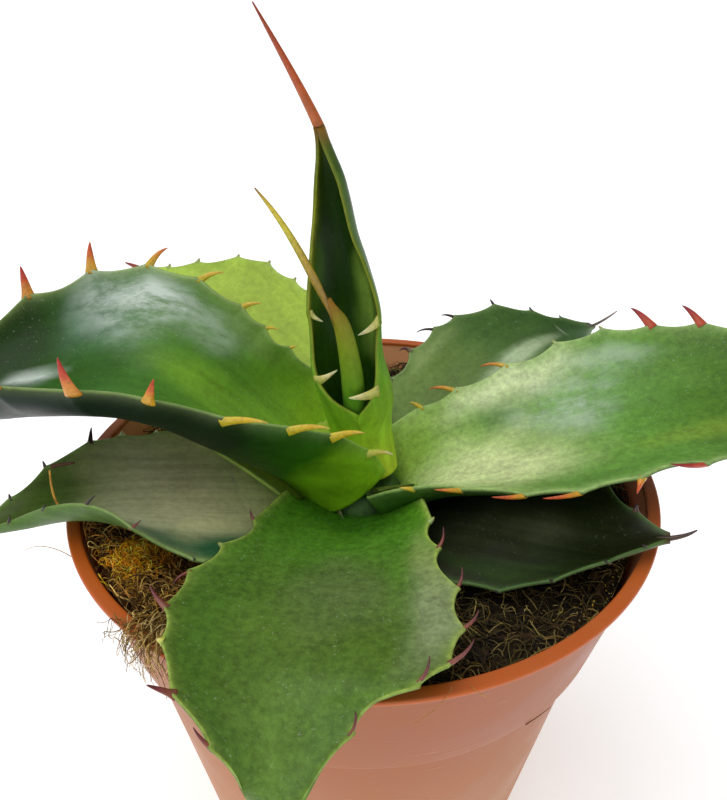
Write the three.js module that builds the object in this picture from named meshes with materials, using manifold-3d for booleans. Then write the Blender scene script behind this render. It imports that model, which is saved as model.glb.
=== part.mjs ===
// Potted agave: a young plant with nine spiny leaves on a short stem, in a filled nursery pot.
// Units are millimetres, +Z is up, and the origin is the centre of the pot's flat bottom.
// The plant leans out over +X and -X; the broad front leaf lies over the rim at -Y.
import * as THREE from 'three';
import { mergeVertices } from 'three/addons/utils/BufferGeometryUtils.js';
import Module from 'manifold-3d';

const wasm = await Module();
wasm.setup();

// ---- Driving dimensions -------------------------------------------------------------------
const POT_HEIGHT = 118;          // bottom to top of the rim
const RIM_RADIUS = 69.6;         // outside of the rolled lip
const COLLAR_RADIUS = 68.2;      // top of the stacking collar, under the lip
const SHOULDER_RADIUS = 58.6;    // wall just below the collar
const BASE_RADIUS = 44.2;        // flat bottom
const MOUTH_RADIUS = 66.6;       // inside edge of the flat top band
const LIP_HEIGHT = 1.6;          // upright side of the lip
const SHOULDER_HEIGHT = 86;      // where the pot steps in below the stacking collar
const SHOULDER_STEP = 2.2;       // how far it steps in
const WALL = 1.4;                // wall thickness
const FLOOR = 2;                 // floor thickness
const DRAIN_HOLES = 8;
const DRAIN_RADIUS = 3.5;
const DRAIN_CIRCLE = 30;         // radius on which the drain holes lie
const SOIL_DROP = 8;             // soil surface below the rim
const STEM_RADIUS = 10;
const STEM_TOP = POT_HEIGHT - 3;
const STEM_BOTTOM = 70;
const GAP = 0.35;                // clearance between neighbouring pieces

const POT_SIDES = 48;            // facets round the pot
const LEAF_STATIONS = 20;        // rings along a leaf
const LEAF_STRIPS = 6;           // strips across each face of a leaf
const SOIL_SIDES = 36;           // facets round the soil
const SPINE_SIDES = 5;
const TOOTH_SIDES = 3;
const TOOTH_STEPS = 2;
const GRID = 0.02;               // corners lie on this grid, so that no sliver is left at a cut
const FINENESS = 0.05;           // ridges and edges smaller than this are smoothed away

// ---- Leaves -------------------------------------------------------------------------------
// azimuth  degrees from +X that the leaf grows towards
// midrib   points along the channel's lowest line: [outward, sideways, above the rim]
// width    widest breadth, measured round the channel; shape scales it from base to tip
// cup      half-angle of the channel's arc, base to tip: 0 is flat, 180 is a closed tube
// roll     degrees that the leaf is turned about its midrib, base to tip
// clasp    up to this fraction of its length the leaf's margins meet and close a tube
// thick    thickness at the midrib
// left, right  where the marginal teeth stand, as fractions of the length
// tooth    length of the longest teeth
// turn     the fraction of the length where teeth stand straight: those before it hook back
// scallop  how deep the margin dips between teeth that stand well apart
// spine    where the end spine's point lies from the leaf's tip: [outward, sideways, up]
// bow      how far the end spine keeps the leaf's own direction before it leans to its point
// Inner leaves come first, because each outer leaf clasps the ones inside it.
const LEAVES = [
  {
    name: 'leaf_heart', color: '#6f9a3a', azimuth: 260, width: 9.6, thick: 1.2, tooth: 0, turn: 1, scallop: 0,
    midrib: [[2.6, -1, -2.6], [3, -1.7, 12], [3.6, -2.7, 27], [3.9, -4.3, 37], [3.8, -7.4, 45]],
    shape: [1, 1, 0.98, 0.93, 0.85, 0.72, 0.52, 0.28],
    cup: [160, 155, 150, 145, 140, 135, 130], roll: [0, 0],
    left: [], right: [], spine: [1.8, -13.3, 24], bow: 0.6,
  },
  {
    name: 'leaf_spear', color: '#4f8030', azimuth: 80, width: 43.4, thick: 2, tooth: 5, turn: 1, scallop: 1, clasp: 0.25,
    midrib: [
      [8, 1.2, -2.6], [9.2, 2.8, 12], [8, 4, 26], [8, 4.4, 40], [6.1, 5.2, 54], [2.9, 6.3, 68], [-0.3, 8.7, 80],
    ],
    shape: [
      0.94, 0.9, 0.87, 0.92, 1, 0.8, 0.61, 0.54, 0.505, 0.456, 0.4, 0.345, 0.289, 0.244, 0.196, 0.12, 0.053,
    ],
    cup: [180, 180, 180, 180, 180, 136, 100, 83, 77, 73, 72, 73, 77, 87, 102, 116, 138],
    roll: [0, 0, 1, 5, 11, 23, 38, 54, 70],
    left: [0.335, 0.47], right: [0.29, 0.45], spine: [0, 12.3, 21.5], bow: 0.05,
  },
  {
    name: 'leaf_left_upper', color: '#3c6b45', azimuth: 176, width: 66, thick: 5, tooth: 8, turn: 0.63, scallop: 3,
    midrib: [[9, 0, -10], [17.2, -0.1, 0.4], [29.3, 0.7, 10.1], [52.6, 0.5, 22.9], [83.7, -0.4, 17.4], [117.5, 1.2, 11.5]],
    shape: [0.63, 0.85, 0.81, 0.9, 0.96, 0.88, 0.48, 0.05],
    cup: [104, 80, 75, 65, 68, 70, 85], roll: [-28, -11, 6, 10, 3, 0, -4],
    left: [0.07, 0.145, 0.2, 0.3, 0.4, 0.48, 0.59, 0.71, 0.84],
    right: [0.15, 0.22, 0.3, 0.353, 0.42, 0.48, 0.576, 0.722, 0.86], spine: [21, 1, -3], bow: 0.3,
  },
  {
    name: 'leaf_right_upper', color: '#6c9a48', azimuth: 2.5, width: 55, thick: 4, tooth: 7.5, turn: 0.9, scallop: 2.2,
    midrib: [[7, 0, -10], [20.1, -0.3, -1], [45, -0.6, 6.7], [84, 0, 16.7], [125.9, -0.2, 21.1]],
    shape: [0.62, 0.72, 0.92, 1, 0.94, 0.8, 0.42, 0.05],
    cup: [77, 45, 31, 36, 26, 31, 40], roll: [6, -5, -8, -12, -15, -13],
    left: [0.12, 0.19, 0.305, 0.418, 0.514, 0.607, 0.695, 0.79, 0.88],
    right: [0.087, 0.158, 0.258, 0.347, 0.446, 0.561, 0.68, 0.78, 0.88], spine: [20, 0, 4], bow: 0.3,
  },
  {
    name: 'leaf_back_left', color: '#7fa653', azimuth: 134, width: 60, thick: 3.4, tooth: 2.5, turn: 0.8, scallop: 2,
    midrib: [[8, 0, -10], [30.1, 1.4, 5.9], [60.2, -0.1, 18.4], [93.9, 0.5, 23.9]],
    shape: [0.62, 0.74, 0.9, 1, 0.84, 0.73, 0.4, 0.04], cup: [50, 35, 21, 30, 35], roll: [10, 13, 15, 10],
    left: [0.3, 0.42, 0.54, 0.66, 0.77, 0.88],
    right: [0.3, 0.41, 0.5, 0.585, 0.67, 0.76, 0.865, 0.94], spine: [9, 2, 1], bow: 0.3,
  },
  {
    name: 'leaf_back_right', color: '#3f6636', azimuth: 41, width: 47, thick: 3.2, tooth: 3.2, turn: 0.8, scallop: 2,
    midrib: [[8, 0, -10], [35, -0.6, 1.6], [62.1, 0.4, 10.7], [90.8, -0.8, 9.4]],
    shape: [0.62, 0.74, 0.9, 1, 0.92, 0.71, 0.35, 0.04], cup: [50, 35, 24, 27, 35], roll: [-10, -14, -13, -6],
    left: [0.25, 0.38, 0.507, 0.583, 0.697, 0.805, 0.9],
    right: [0.3, 0.42, 0.54, 0.66, 0.78, 0.89], spine: [8, -3, 4], bow: 0.3,
  },
  {
    name: 'leaf_front', color: '#4d7a35', azimuth: 259, width: 55, thick: 3, tooth: 5.5, turn: 1, scallop: 2.4,
    midrib: [[8, 0, -9], [30.1, 0.5, -2], [54.9, 0.7, 3.6], [71.4, -0.7, 3.6], [84.4, 2.2, -1.5], [91.8, 0.5, -13.6]],
    shape: [0.62, 0.71, 0.84, 1, 1.01, 0.68, 0.26, 0.06],
    cup: [60, 29, 14, 6, 19, 35, 49], roll: [-5, 6],
    left: [0.153, 0.253, 0.386, 0.49, 0.579, 0.647, 0.785, 0.89],
    right: [0.2, 0.32, 0.43, 0.6, 0.667, 0.73, 0.8, 0.9], spine: [9, 0, -12], bow: 0.3,
  },
  {
    name: 'leaf_left_lower', color: '#5d6650', azimuth: 197, width: 50, thick: 3, tooth: 3.5, turn: 0.72, scallop: 1.5,
    midrib: [[10, 0, -10], [34.7, 0.7, -1.9], [61.9, 0.4, 3.4], [87.9, 1.8, 1.9]],
    shape: [0.7, 0.85, 0.98, 1.05, 0.98, 0.75, 0.36, 0.05], cup: [46, 20, 15, 54, 58], roll: [3, 2, -3, -14, -8],
    left: [0.45, 0.6, 0.7, 0.8, 0.9], right: [0.5, 0.6, 0.683, 0.8, 0.9], spine: [12, 0, 1], bow: 0.3,
  },
  {
    name: 'leaf_right_lower', color: '#2c3a2c', azimuth: 334, width: 46, thick: 3, tooth: 2.5, turn: 0.8, scallop: 1.2,
    midrib: [[10, 0, -10], [34.4, -2.8, -0.9], [58, -3.3, 2.1], [71.4, -1.8, 5.1]],
    shape: [0.8, 0.95, 0.99, 1.03, 0.97, 0.75, 0.41, 0.04], cup: [45, 27, 12, 22, 34], roll: [3, -10, -3],
    left: [0.4, 0.52, 0.64, 0.76, 0.89], right: [0.42, 0.553, 0.697, 0.831, 0.93], spine: [4.5, 2.2, 2.6], bow: 0.3,
  },
];
const EDGE = 1;                  // thickness at a leaf's margin near its base
const FINE_EDGE = 0.7;           // and at its tip
const TOOTH_RADIUS = 1;          // at a tooth's root
const TOOTH_ROOT = 2.2;          // how far a tooth's root is sunk into its leaf
const HOOKED = 1.4;              // how strongly the teeth nearest a leaf's base lean back to it
const SPINE_RADIUS = 1.25;       // at an end spine's root
const SPINE_ROOT = 6;            // how far an end spine's root is sunk into its leaf
const OPEN = (170 * Math.PI) / 180; // the widest half-angle of a rolled blade
const INSET = 0.1;               // how far a closing strip's faces lie inside the blade's

// ---- Small helpers ------------------------------------------------------------------------
const radians = THREE.MathUtils.degToRad;
const UP = new THREE.Vector3(0, 0, 1);

// A smooth value through evenly spaced ones, at the fraction s of their run (Catmull-Rom).
function ease(values, s) {
  const last = values.length - 1;
  const at = THREE.MathUtils.clamp(s, 0, 1) * last;
  const i = Math.min(Math.floor(at), last - 1);
  const t = at - i;
  const a = values[Math.max(i - 1, 0)];
  const b = values[i];
  const c = values[i + 1];
  const d = values[Math.min(i + 2, last)];
  return b + 0.5 * t * (c - a + t * (2 * a - 5 * b + 4 * c - d + t * (3 * (b - c) + d - a)));
}

// A repeatable uneven value between -1 and 1 at a place.
function rough(x, y, z = 0) {
  return (Math.sin(x * 0.31 + y * 0.17 + z * 0.23) + Math.sin(x * -0.13 + y * 0.37 + z * 0.29 + 1)
    + Math.sin(x * 0.47 - y * 0.41 - z * 0.19 + 2)) / 3;
}

// Closed solid from rings of points that run round it in the same sense, capped at both ends.
// A cap is a fan from the ring's own middle point, unless the ring is a flat leaf section.
function loft(rings, flatEnds) {
  const count = rings[0].length;
  const points = rings.flat();
  const faces = [];
  for (let k = 0; k < rings.length - 1; k += 1) {
    for (let i = 0; i < count; i += 1) {
      const j = (i + 1) % count;
      const a = k * count + i;
      const b = k * count + j;
      faces.push(a, b, b + count, a, b + count, a + count);
    }
  }
  const lastStart = (rings.length - 1) * count;
  if (flatEnds) {
    for (let i = 0; i < count / 2 - 1; i += 1) {
      const m = count - 1 - i;
      faces.push(i, m, i + 1, i + 1, m, m - 1);
      faces.push(lastStart + i, lastStart + i + 1, lastStart + m);
      faces.push(lastStart + i + 1, lastStart + m - 1, lastStart + m);
    }
  } else {
    for (let i = 1; i < count - 1; i += 1) {
      faces.push(0, i + 1, i, lastStart, lastStart + i, lastStart + i + 1);
    }
  }
  return new wasm.Manifold(new wasm.Mesh({
    numProp: 3,
    vertProperties: new Float32Array(points.flatMap((p) => [p.x, p.y, p.z])),
    triVerts: new Uint32Array(faces),
  }));
}

function solidFrom(geometry) {
  geometry.deleteAttribute('normal');
  geometry.deleteAttribute('uv');
  const merged = mergeVertices(geometry);
  return new wasm.Manifold(new wasm.Mesh({
    numProp: 3,
    vertProperties: new Float32Array(merged.attributes.position.array),
    triVerts: new Uint32Array(merged.index.array),
  }));
}

// The same solid without the slivers and tiny edges that cuts and joins leave.
function tidied(solid) {
  const { vertProperties, triVerts } = solid.simplify(FINENESS).getMesh();
  const snapped = new wasm.Mesh({
    numProp: 3,
    vertProperties: Float32Array.from(vertProperties, (value) => Math.round(value / GRID) * GRID),
    triVerts,
    tolerance: GRID,
  });
  snapped.merge();
  return new wasm.Manifold(snapped).simplify(FINENESS);
}

function geometryFrom(solid) {
  const mesh = tidied(tidied(solid)).getMesh();
  const geometry = new THREE.BufferGeometry();
  geometry.setAttribute('position', new THREE.BufferAttribute(new Float32Array(mesh.vertProperties), 3));
  geometry.setIndex(new THREE.BufferAttribute(new Uint32Array(mesh.triVerts), 1));
  geometry.computeVertexNormals();
  return geometry;
}

// The biggest of the bodies that a cut leaves.
function biggest(solid) {
  return solid.decompose().reduce((best, body) => (body.volume() > best.volume() ? body : best));
}

// A solid turned about Z from [radius, height] points; the profile closes on the axis.
function turned(profile, sides = POT_SIDES) {
  const geometry = new THREE.LatheGeometry(profile.map(([r, z]) => new THREE.Vector2(r, z)), sides);
  geometry.rotateX(Math.PI / 2);
  return solidFrom(geometry);
}

// A round spike along a curve, from its root's radius down to a fine blunt point.
function spike(curve, radius, sides, steps, tipRadius) {
  const rings = [];
  for (let k = 0; k <= steps; k += 1) {
    const t = k / steps;
    const centre = curve.getPoint(t);
    const along = curve.getTangent(t);
    const across = new THREE.Vector3(0.31, 0.52, 0.79).cross(along).normalize();
    const other = along.clone().cross(across);
    const size = tipRadius + (radius - tipRadius) * (1 - t) ** 0.8;
    const ring = [];
    for (let i = 0; i < sides; i += 1) {
      const turn = (2 * Math.PI * i) / sides;
      ring.push(centre.clone().addScaledVector(across, size * Math.cos(turn))
        .addScaledVector(other, size * Math.sin(turn)));
    }
    rings.push(ring);
  }
  return loft(rings, false);
}

// ---- Leaf geometry ------------------------------------------------------------------------
class Leaf {
  constructor(spec) {
    this.spec = spec;
    const turn = radians(spec.azimuth);
    this.outward = new THREE.Vector3(Math.cos(turn), Math.sin(turn), 0);
    this.sideways = new THREE.Vector3(-Math.sin(turn), Math.cos(turn), 0);
    // Equal steps along the midrib, so that s is a fraction of the leaf's length.
    const fine = 400;
    const lengths = [0];
    const path = [];
    for (let k = 0; k <= fine; k += 1) {
      const [out, side, up] = [0, 1, 2].map((axis) => ease(spec.midrib.map((p) => p[axis]), k / fine));
      path.push(this.place(out, side, up));
      if (k) lengths.push(lengths[k - 1] + path[k].distanceTo(path[k - 1]));
    }
    this.path = path;
    this.lengths = lengths;
  }

  place(out, side, up) {
    return this.outward.clone().multiplyScalar(out).addScaledVector(this.sideways, side)
      .addScaledVector(UP, POT_HEIGHT + up);
  }

  midrib(s) {
    const target = THREE.MathUtils.clamp(s, 0, 1) * this.lengths.at(-1);
    let k = 1;
    while (this.lengths[k] < target && k < this.lengths.length - 1) k += 1;
    const t = (target - this.lengths[k - 1]) / (this.lengths[k] - this.lengths[k - 1]);
    return this.path[k - 1].clone().lerp(this.path[k], t);
  }

  // Where the leaf runs, and which way its upper face and its left margin point.
  frame(s) {
    const step = 0.004;
    const along = this.midrib(s + step).sub(this.midrib(s - step)).normalize();
    const normal = UP.clone().addScaledVector(this.outward, -0.5);
    normal.addScaledVector(along, -normal.dot(along)).normalize();
    const left = normal.clone().cross(along);
    const roll = radians(ease(this.spec.roll, s));
    const up = normal.clone().multiplyScalar(Math.cos(roll)).addScaledVector(left, Math.sin(roll));
    left.multiplyScalar(Math.cos(roll)).addScaledVector(normal, -Math.sin(roll));
    return { centre: this.midrib(s), along, up, left };
  }

  // The margin dips in a shallow curve between each pair of teeth, less where they are close.
  scallop(s, teeth) {
    const before = teeth.filter((tooth) => tooth <= s).at(-1);
    const after = teeth.find((tooth) => tooth > s);
    if (before === undefined || after === undefined) return 0;
    const depth = this.spec.scallop * Math.min(1, 8 * (after - before));
    return depth * Math.sin((Math.PI * (s - before)) / (after - before)) ** 0.7;
  }

  // A point of the leaf: u runs from 1 at the left margin to -1 at the right one, and depth
  // from 0 on the upper face to 1 on the lower one. grow swells the leaf all round.
  point(s, u, depth, grow = 0) {
    const { centre, up, left } = this.frame(s);
    const teeth = u > 0 ? this.spec.left : this.spec.right;
    const half = (ease(this.spec.shape, s) * this.spec.width) / 2 - this.scallop(s, teeth) * Math.abs(u) ** 4;
    const arc = radians(ease(this.spec.cup, s));
    const radius = half / arc;
    const angle = (Math.min(arc, OPEN) + grow / radius) * u;
    const edge = EDGE + (FINE_EDGE - EDGE) * s;
    const thick = edge + (this.spec.thick - EDGE) * (1 - 0.7 * s * s) * (1 - u * u);
    const reach = radius - grow + (thick + 2 * grow) * depth;
    return centre.addScaledVector(left, reach * Math.sin(angle))
      .addScaledVector(up, radius - reach * Math.cos(angle));
  }

  // A strip that joins the two margins where the leaf's base closes to a tube.
  sheath(grow) {
    const rings = [];
    const steps = 5;
    for (let k = 0; k <= steps; k += 1) {
      const s = (this.spec.clasp * k) / steps;
      const { centre, along, up, left } = this.frame(s);
      const radius = (ease(this.spec.shape, s) * this.spec.width) / 2 / radians(ease(this.spec.cup, s));
      if (k === 0) centre.addScaledVector(along, -grow);
      if (k === steps) centre.addScaledVector(along, grow);
      const ring = [];
      for (const reach of [radius + INSET - grow, radius + EDGE - INSET + grow]) {
        const row = [-1, -0.5, 0, 0.5, 1].map((turn) => {
          const angle = Math.PI - turn * (Math.PI - OPEN + radians(8));
          return centre.clone().addScaledVector(left, reach * Math.sin(angle))
            .addScaledVector(up, radius - reach * Math.cos(angle));
        });
        ring.push(...(ring.length ? row.reverse() : row));
      }
      rings.push(ring);
    }
    const strip = loft(rings, true);
    return strip.volume() > 0 ? strip : loft(rings.reverse(), true);
  }

  blade(grow) {
    const rings = [];
    for (let k = 0; k <= LEAF_STATIONS; k += 1) {
      const s = k / LEAF_STATIONS;
      const ring = [];
      for (let j = 0; j <= LEAF_STRIPS; j += 1) ring.push(this.point(s, 1 - (2 * j) / LEAF_STRIPS, 0, grow));
      for (let j = LEAF_STRIPS; j >= 0; j -= 1) ring.push(this.point(s, 1 - (2 * j) / LEAF_STRIPS, 1, grow));
      const shift = k === 0 ? -grow : 0;
      const { along } = this.frame(s);
      rings.push(ring.map((p) => p.addScaledVector(along, shift)));
    }
    return loft(rings, true);
  }

  // Teeth near the base hook back along the margin; those further out stand up, then forward.
  tooth(s, side, grow) {
    const { along } = this.frame(s);
    const root = this.point(s, side, 0.5);
    const outward = root.clone().sub(this.point(s, side * 0.9, 0.5)).normalize();
    const above = this.point(s, side, 0).sub(this.point(s, side, 1)).normalize();
    const back = THREE.MathUtils.clamp(4 * (this.spec.turn - s), -0.4, HOOKED);
    const lean = outward.clone().multiplyScalar(0.75).addScaledVector(above, 0.25 + 0.6 * s)
      .addScaledVector(along, -back).normalize();
    const length = this.spec.tooth * Math.min(1, 0.55 + 1.1 * s, 1.5 - s);
    const curve = new THREE.QuadraticBezierCurve3(
      root.clone().addScaledVector(outward, -TOOTH_ROOT),
      root.clone().addScaledVector(outward, length * 0.45),
      root.clone().addScaledVector(lean, length + grow),
    );
    return spike(curve, TOOTH_RADIUS + grow, TOOTH_SIDES, TOOTH_STEPS, 0.25 + grow);
  }

  endSpine(grow) {
    const { spine: [out, side, up], bow } = this.spec;
    const tip = this.point(1, 0, 0.5);
    const { along } = this.frame(0.97);
    const reach = Math.hypot(out, side, up);
    const point = tip.clone().addScaledVector(this.outward, out).addScaledVector(this.sideways, side)
      .addScaledVector(UP, up);
    const curve = new THREE.CubicBezierCurve3(
      tip.clone().addScaledVector(along, -SPINE_ROOT),
      tip.clone().addScaledVector(along, reach * bow),
      tip.clone().lerp(point, 0.6).addScaledVector(along, reach * bow * 0.35),
      point.addScaledVector(along, grow),
    );
    return spike(curve, SPINE_RADIUS + grow, SPINE_SIDES, 6, 0.3 + grow);
  }

  solid(grow = 0) {
    let body = this.blade(grow).add(this.endSpine(grow));
    if (this.spec.clasp) body = body.add(this.sheath(grow));
    for (const s of this.spec.tooth ? this.spec.left : []) body = body.add(this.tooth(s, 1, grow));
    for (const s of this.spec.tooth ? this.spec.right : []) body = body.add(this.tooth(s, -1, grow));
    return body;
  }
}

// ---- Pot ----------------------------------------------------------------------------------
// The wall leans out in a steep slope, steps out at the shoulder and flares in the collar.
function wallRadius(z) {
  const { lerp } = THREE.MathUtils;
  if (z < SHOULDER_HEIGHT) return lerp(BASE_RADIUS, SHOULDER_RADIUS, z / SHOULDER_HEIGHT);
  const up = (z - SHOULDER_HEIGHT) / (POT_HEIGHT - SHOULDER_HEIGHT);
  return lerp(SHOULDER_RADIUS + SHOULDER_STEP, COLLAR_RADIUS, up);
}

function potSolid() {
  const lipBottom = POT_HEIGHT - LIP_HEIGHT;
  const below = SHOULDER_HEIGHT - 1;
  const above = SHOULDER_HEIGHT + 1;
  let pot = turned([
    [0, 0], [BASE_RADIUS - 0.6, 0], [wallRadius(0.8), 0.8], [wallRadius(below), below],
    [wallRadius(above), above], [wallRadius(lipBottom), lipBottom], [RIM_RADIUS, lipBottom + 0.3],
    [RIM_RADIUS, POT_HEIGHT - 0.5], [RIM_RADIUS - 0.5, POT_HEIGHT], [MOUTH_RADIUS, POT_HEIGHT],
    [MOUTH_RADIUS, lipBottom], [wallRadius(above) - WALL, above], [wallRadius(below) - WALL, below],
    [wallRadius(FLOOR) - WALL, FLOOR], [0, FLOOR],
  ]);
  for (let k = 0; k < DRAIN_HOLES; k += 1) {
    const turn = (2 * Math.PI * (k + 0.5)) / DRAIN_HOLES;
    const drill = new THREE.CylinderGeometry(DRAIN_RADIUS, DRAIN_RADIUS, FLOOR * 3, 10);
    drill.rotateX(Math.PI / 2);
    drill.translate(DRAIN_CIRCLE * Math.cos(turn), DRAIN_CIRCLE * Math.sin(turn), FLOOR / 2);
    pot = pot.subtract(solidFrom(drill));
  }
  return pot;
}

// ---- Soil and stem ------------------------------------------------------------------------
const SOIL_TOP = POT_HEIGHT - SOIL_DROP;
const soilRadius = (z) => wallRadius(z) - WALL - GAP;

// Everything from the floor up to an uneven surface that rises a little towards the stem.
function ground(hole, lift = 0) {
  const below = SHOULDER_HEIGHT - 1;
  const above = SHOULDER_HEIGHT + 1;
  const rings = [64, 60, 54, 47, 40, 33, 26, 19];
  const profile = [
    [0, FLOOR + GAP], [soilRadius(FLOOR), FLOOR + GAP], [soilRadius(below), below],
    [soilRadius(above), above], [soilRadius(SOIL_TOP - 3), SOIL_TOP - 3],
    ...rings.map((r) => [r, SOIL_TOP]),
  ];
  if (hole) {
    const floor = STEM_BOTTOM - GAP;
    profile.push([STEM_RADIUS + GAP, SOIL_TOP], [STEM_RADIUS + GAP, floor], [0, floor]);
  } else {
    profile.push([8, SOIL_TOP], [0, SOIL_TOP]);
  }
  const geometry = new THREE.LatheGeometry(profile.map(([r, z]) => new THREE.Vector2(r, z)), SOIL_SIDES);
  geometry.rotateX(Math.PI / 2);
  const places = geometry.attributes.position;
  for (let i = 0; i < places.count; i += 1) {
    const x = places.getX(i);
    const y = places.getY(i);
    const r = Math.hypot(x, y);
    if (Math.abs(places.getZ(i) - SOIL_TOP) < 0.01) {
      places.setZ(i, SOIL_TOP + lift + rough(x * 1.3, y * 1.3) * Math.min(1, r / 25) + 1.2 * (1 - r / 66));
    }
  }
  return solidFrom(geometry);
}

function stemSolid(grow = 0) {
  const r = STEM_RADIUS + grow;
  return turned([
    [0, STEM_BOTTOM - grow], [r, STEM_BOTTOM - grow], [r, STEM_TOP - 5],
    [r - 2.5, STEM_TOP - 1 + grow], [0, STEM_TOP + grow],
  ], 24);
}

// A low cushion of moss and bark crumbs that rests on the soil.
const MOSS = { x: -48, y: -28, radius: 8, height: 4.5 };
function mossSolid() {
  const geometry = new THREE.SphereGeometry(1, 16, 10);
  const places = geometry.attributes.position;
  for (let i = 0; i < places.count; i += 1) {
    const [x, y, z] = [places.getX(i), places.getZ(i), places.getY(i)];
    const swell = 1 + 0.16 * rough(x * 9, y * 9, z * 9);
    const lift = z > 0 ? z * swell * MOSS.height : z * 2;
    places.setXYZ(i, -x * swell * MOSS.radius + MOSS.x, y * swell * MOSS.radius * 0.75 + MOSS.y,
      SOIL_TOP + 0.8 + lift);
  }
  return solidFrom(geometry);
}

// ---- Assembly -----------------------------------------------------------------------------
const potted = new THREE.Group();

function addPiece(name, solid, material) {
  const mesh = new THREE.Mesh(geometryFrom(solid), new THREE.MeshStandardMaterial(material));
  mesh.name = name;
  potted.add(mesh);
}

addPiece('pot', potSolid(), { color: '#b5694a', roughness: 0.5 });
addPiece('soil', ground(true), { color: '#3a2a1e', roughness: 1 });
addPiece('stem', stemSolid(), { color: '#8a9a5c', roughness: 0.8 });

const rim = turned([
  [MOUTH_RADIUS - GAP, POT_HEIGHT - 12], [RIM_RADIUS + GAP, POT_HEIGHT - 12],
  [RIM_RADIUS + GAP, POT_HEIGHT + GAP], [MOUTH_RADIUS - GAP, POT_HEIGHT + GAP],
  [MOUTH_RADIUS - GAP, POT_HEIGHT - 12],
]);
let taken = ground(false, GAP).add(stemSolid(GAP)).add(rim);
for (const spec of LEAVES) {
  const leaf = new Leaf(spec);
  addPiece(spec.name, biggest(leaf.solid().subtract(taken)), { color: spec.color, roughness: 0.45 });
  taken = taken.add(leaf.solid(GAP));
}
addPiece('moss_clump', biggest(mossSolid().subtract(taken)), { color: '#a8822e', roughness: 1 });

export default potted;
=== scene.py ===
"""Looks for the potted agave: fine leaves, teeth, pot, soil, fibres and moss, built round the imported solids.

Places and sizes below are the source's own, in millimetres. MM turns them into metres.
"""

import math

import bpy
import numpy as np
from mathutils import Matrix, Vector
from mathutils.bvhtree import BVHTree


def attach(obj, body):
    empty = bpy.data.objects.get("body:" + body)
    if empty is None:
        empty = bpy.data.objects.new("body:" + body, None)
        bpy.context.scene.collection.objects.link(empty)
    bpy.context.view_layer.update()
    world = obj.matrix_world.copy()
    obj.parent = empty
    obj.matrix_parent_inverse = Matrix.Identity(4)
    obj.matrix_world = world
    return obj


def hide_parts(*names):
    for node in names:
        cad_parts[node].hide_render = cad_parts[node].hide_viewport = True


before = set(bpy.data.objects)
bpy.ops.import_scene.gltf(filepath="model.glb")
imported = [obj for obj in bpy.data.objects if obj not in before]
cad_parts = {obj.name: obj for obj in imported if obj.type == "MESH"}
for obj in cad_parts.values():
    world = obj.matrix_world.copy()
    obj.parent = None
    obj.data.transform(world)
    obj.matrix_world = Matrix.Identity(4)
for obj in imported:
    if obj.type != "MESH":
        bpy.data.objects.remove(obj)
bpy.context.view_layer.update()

MM = 0.001
UP = np.array([0.0, 0.0, 1.0])

# ---- The source's named sizes (mm) ---------------------------------------------------------
POT_HEIGHT = 118
RIM_RADIUS = 69.6
COLLAR_RADIUS = 68.2
SHOULDER_RADIUS = 58.6
BASE_RADIUS = 44.2
MOUTH_RADIUS = 66.6
LIP_HEIGHT = 1.6
SHOULDER_HEIGHT = 86
SHOULDER_STEP = 2.2
WALL = 1.4
FLOOR = 2
DRAIN_HOLES = 8
DRAIN_RADIUS = 3.5
DRAIN_CIRCLE = 30
SOIL_TOP = POT_HEIGHT - 8
STEM_RADIUS = 10
STEM_TOP = 115
STEM_BOTTOM = 70
GAP = 0.35
EDGE = 1
FINE_EDGE = 0.7
HOOKED = 1.4
TOOTH_ROOT = 2.2
SPINE_ROOT = 6
MOSS = {"x": -48, "y": -28, "radius": 8, "height": 4.5}

# ---- Sizes of the visual model only (mm, degrees) ------------------------------------------
BAND_SLOPE = (COLLAR_RADIUS - SHOULDER_RADIUS - SHOULDER_STEP) / (POT_HEIGHT - SHOULDER_HEIGHT)
TUCK_GAP = 0.35
TUCK_DEPTH = 7
FIBRE_REACH = 64
CRUMB_REACH = 63.5
TUFT_TURN = 235

# ---- Room and camera (metres, degrees) -----------------------------------------------------
FLOOR_HALF = 30
FLOOR_GLOW = 0.42
SKY_HORIZON = 0.95
SKY_TOP = 0.33
SUNS = {  # towards, strength, spread
    "overhead": ((-0.3, -0.05, 0.95), 1.4, 60),
    "front_fill": ((0.25, -0.8, 0.55), 0.2, 70),
    "side_fill": ((-0.7, -0.7, 0.3), 0.3, 50),
}
CAMERA_PLACE = (0, -0.160, 0.2326)
CAMERA_DOWN = 31
CAMERA_LENS = 36

# ---- Fineness of the visual meshes ---------------------------------------------------------
STATIONS = 190
STRIPS = 40
POT_SIDES = 224
SOIL_RINGS = 130
SOIL_SIDES = 340
FIBRES = 5200
CRUMBS = 1800
GRAINS = 70
TUFT_ROOTS = 90
MOSS_THREADS = 1500
MOSS_GRID = ((44, 90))
PATH_STEPS = 801
TOOTH_SIDES = 12
SPINE_SIDES = 14

SEEDS = {"leaves": 100, "fibres": 7, "tuft": 31, "crumbs": 11, "grit": 5, "moss": 23}


# ---- Numbers: easing, noise, colour --------------------------------------------------------
def ease(values, s):
    """A smooth value through evenly spaced ones (Catmull-Rom), at fractions s of their run."""
    v = np.asarray(values, float)
    last = len(v) - 1
    at = np.clip(np.asarray(s, float), 0, 1) * last
    i = np.minimum(at.astype(int), last - 1)
    t = at - i
    if v.ndim > 1:
        t = t[..., None]
    a, b, c, d = v[np.maximum(i - 1, 0)], v[i], v[i + 1], v[np.minimum(i + 2, last)]
    return b + 0.5 * t * (c - a + t * (2 * a - 5 * b + 4 * c - d + t * (3 * (b - c) + d - a)))


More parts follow.
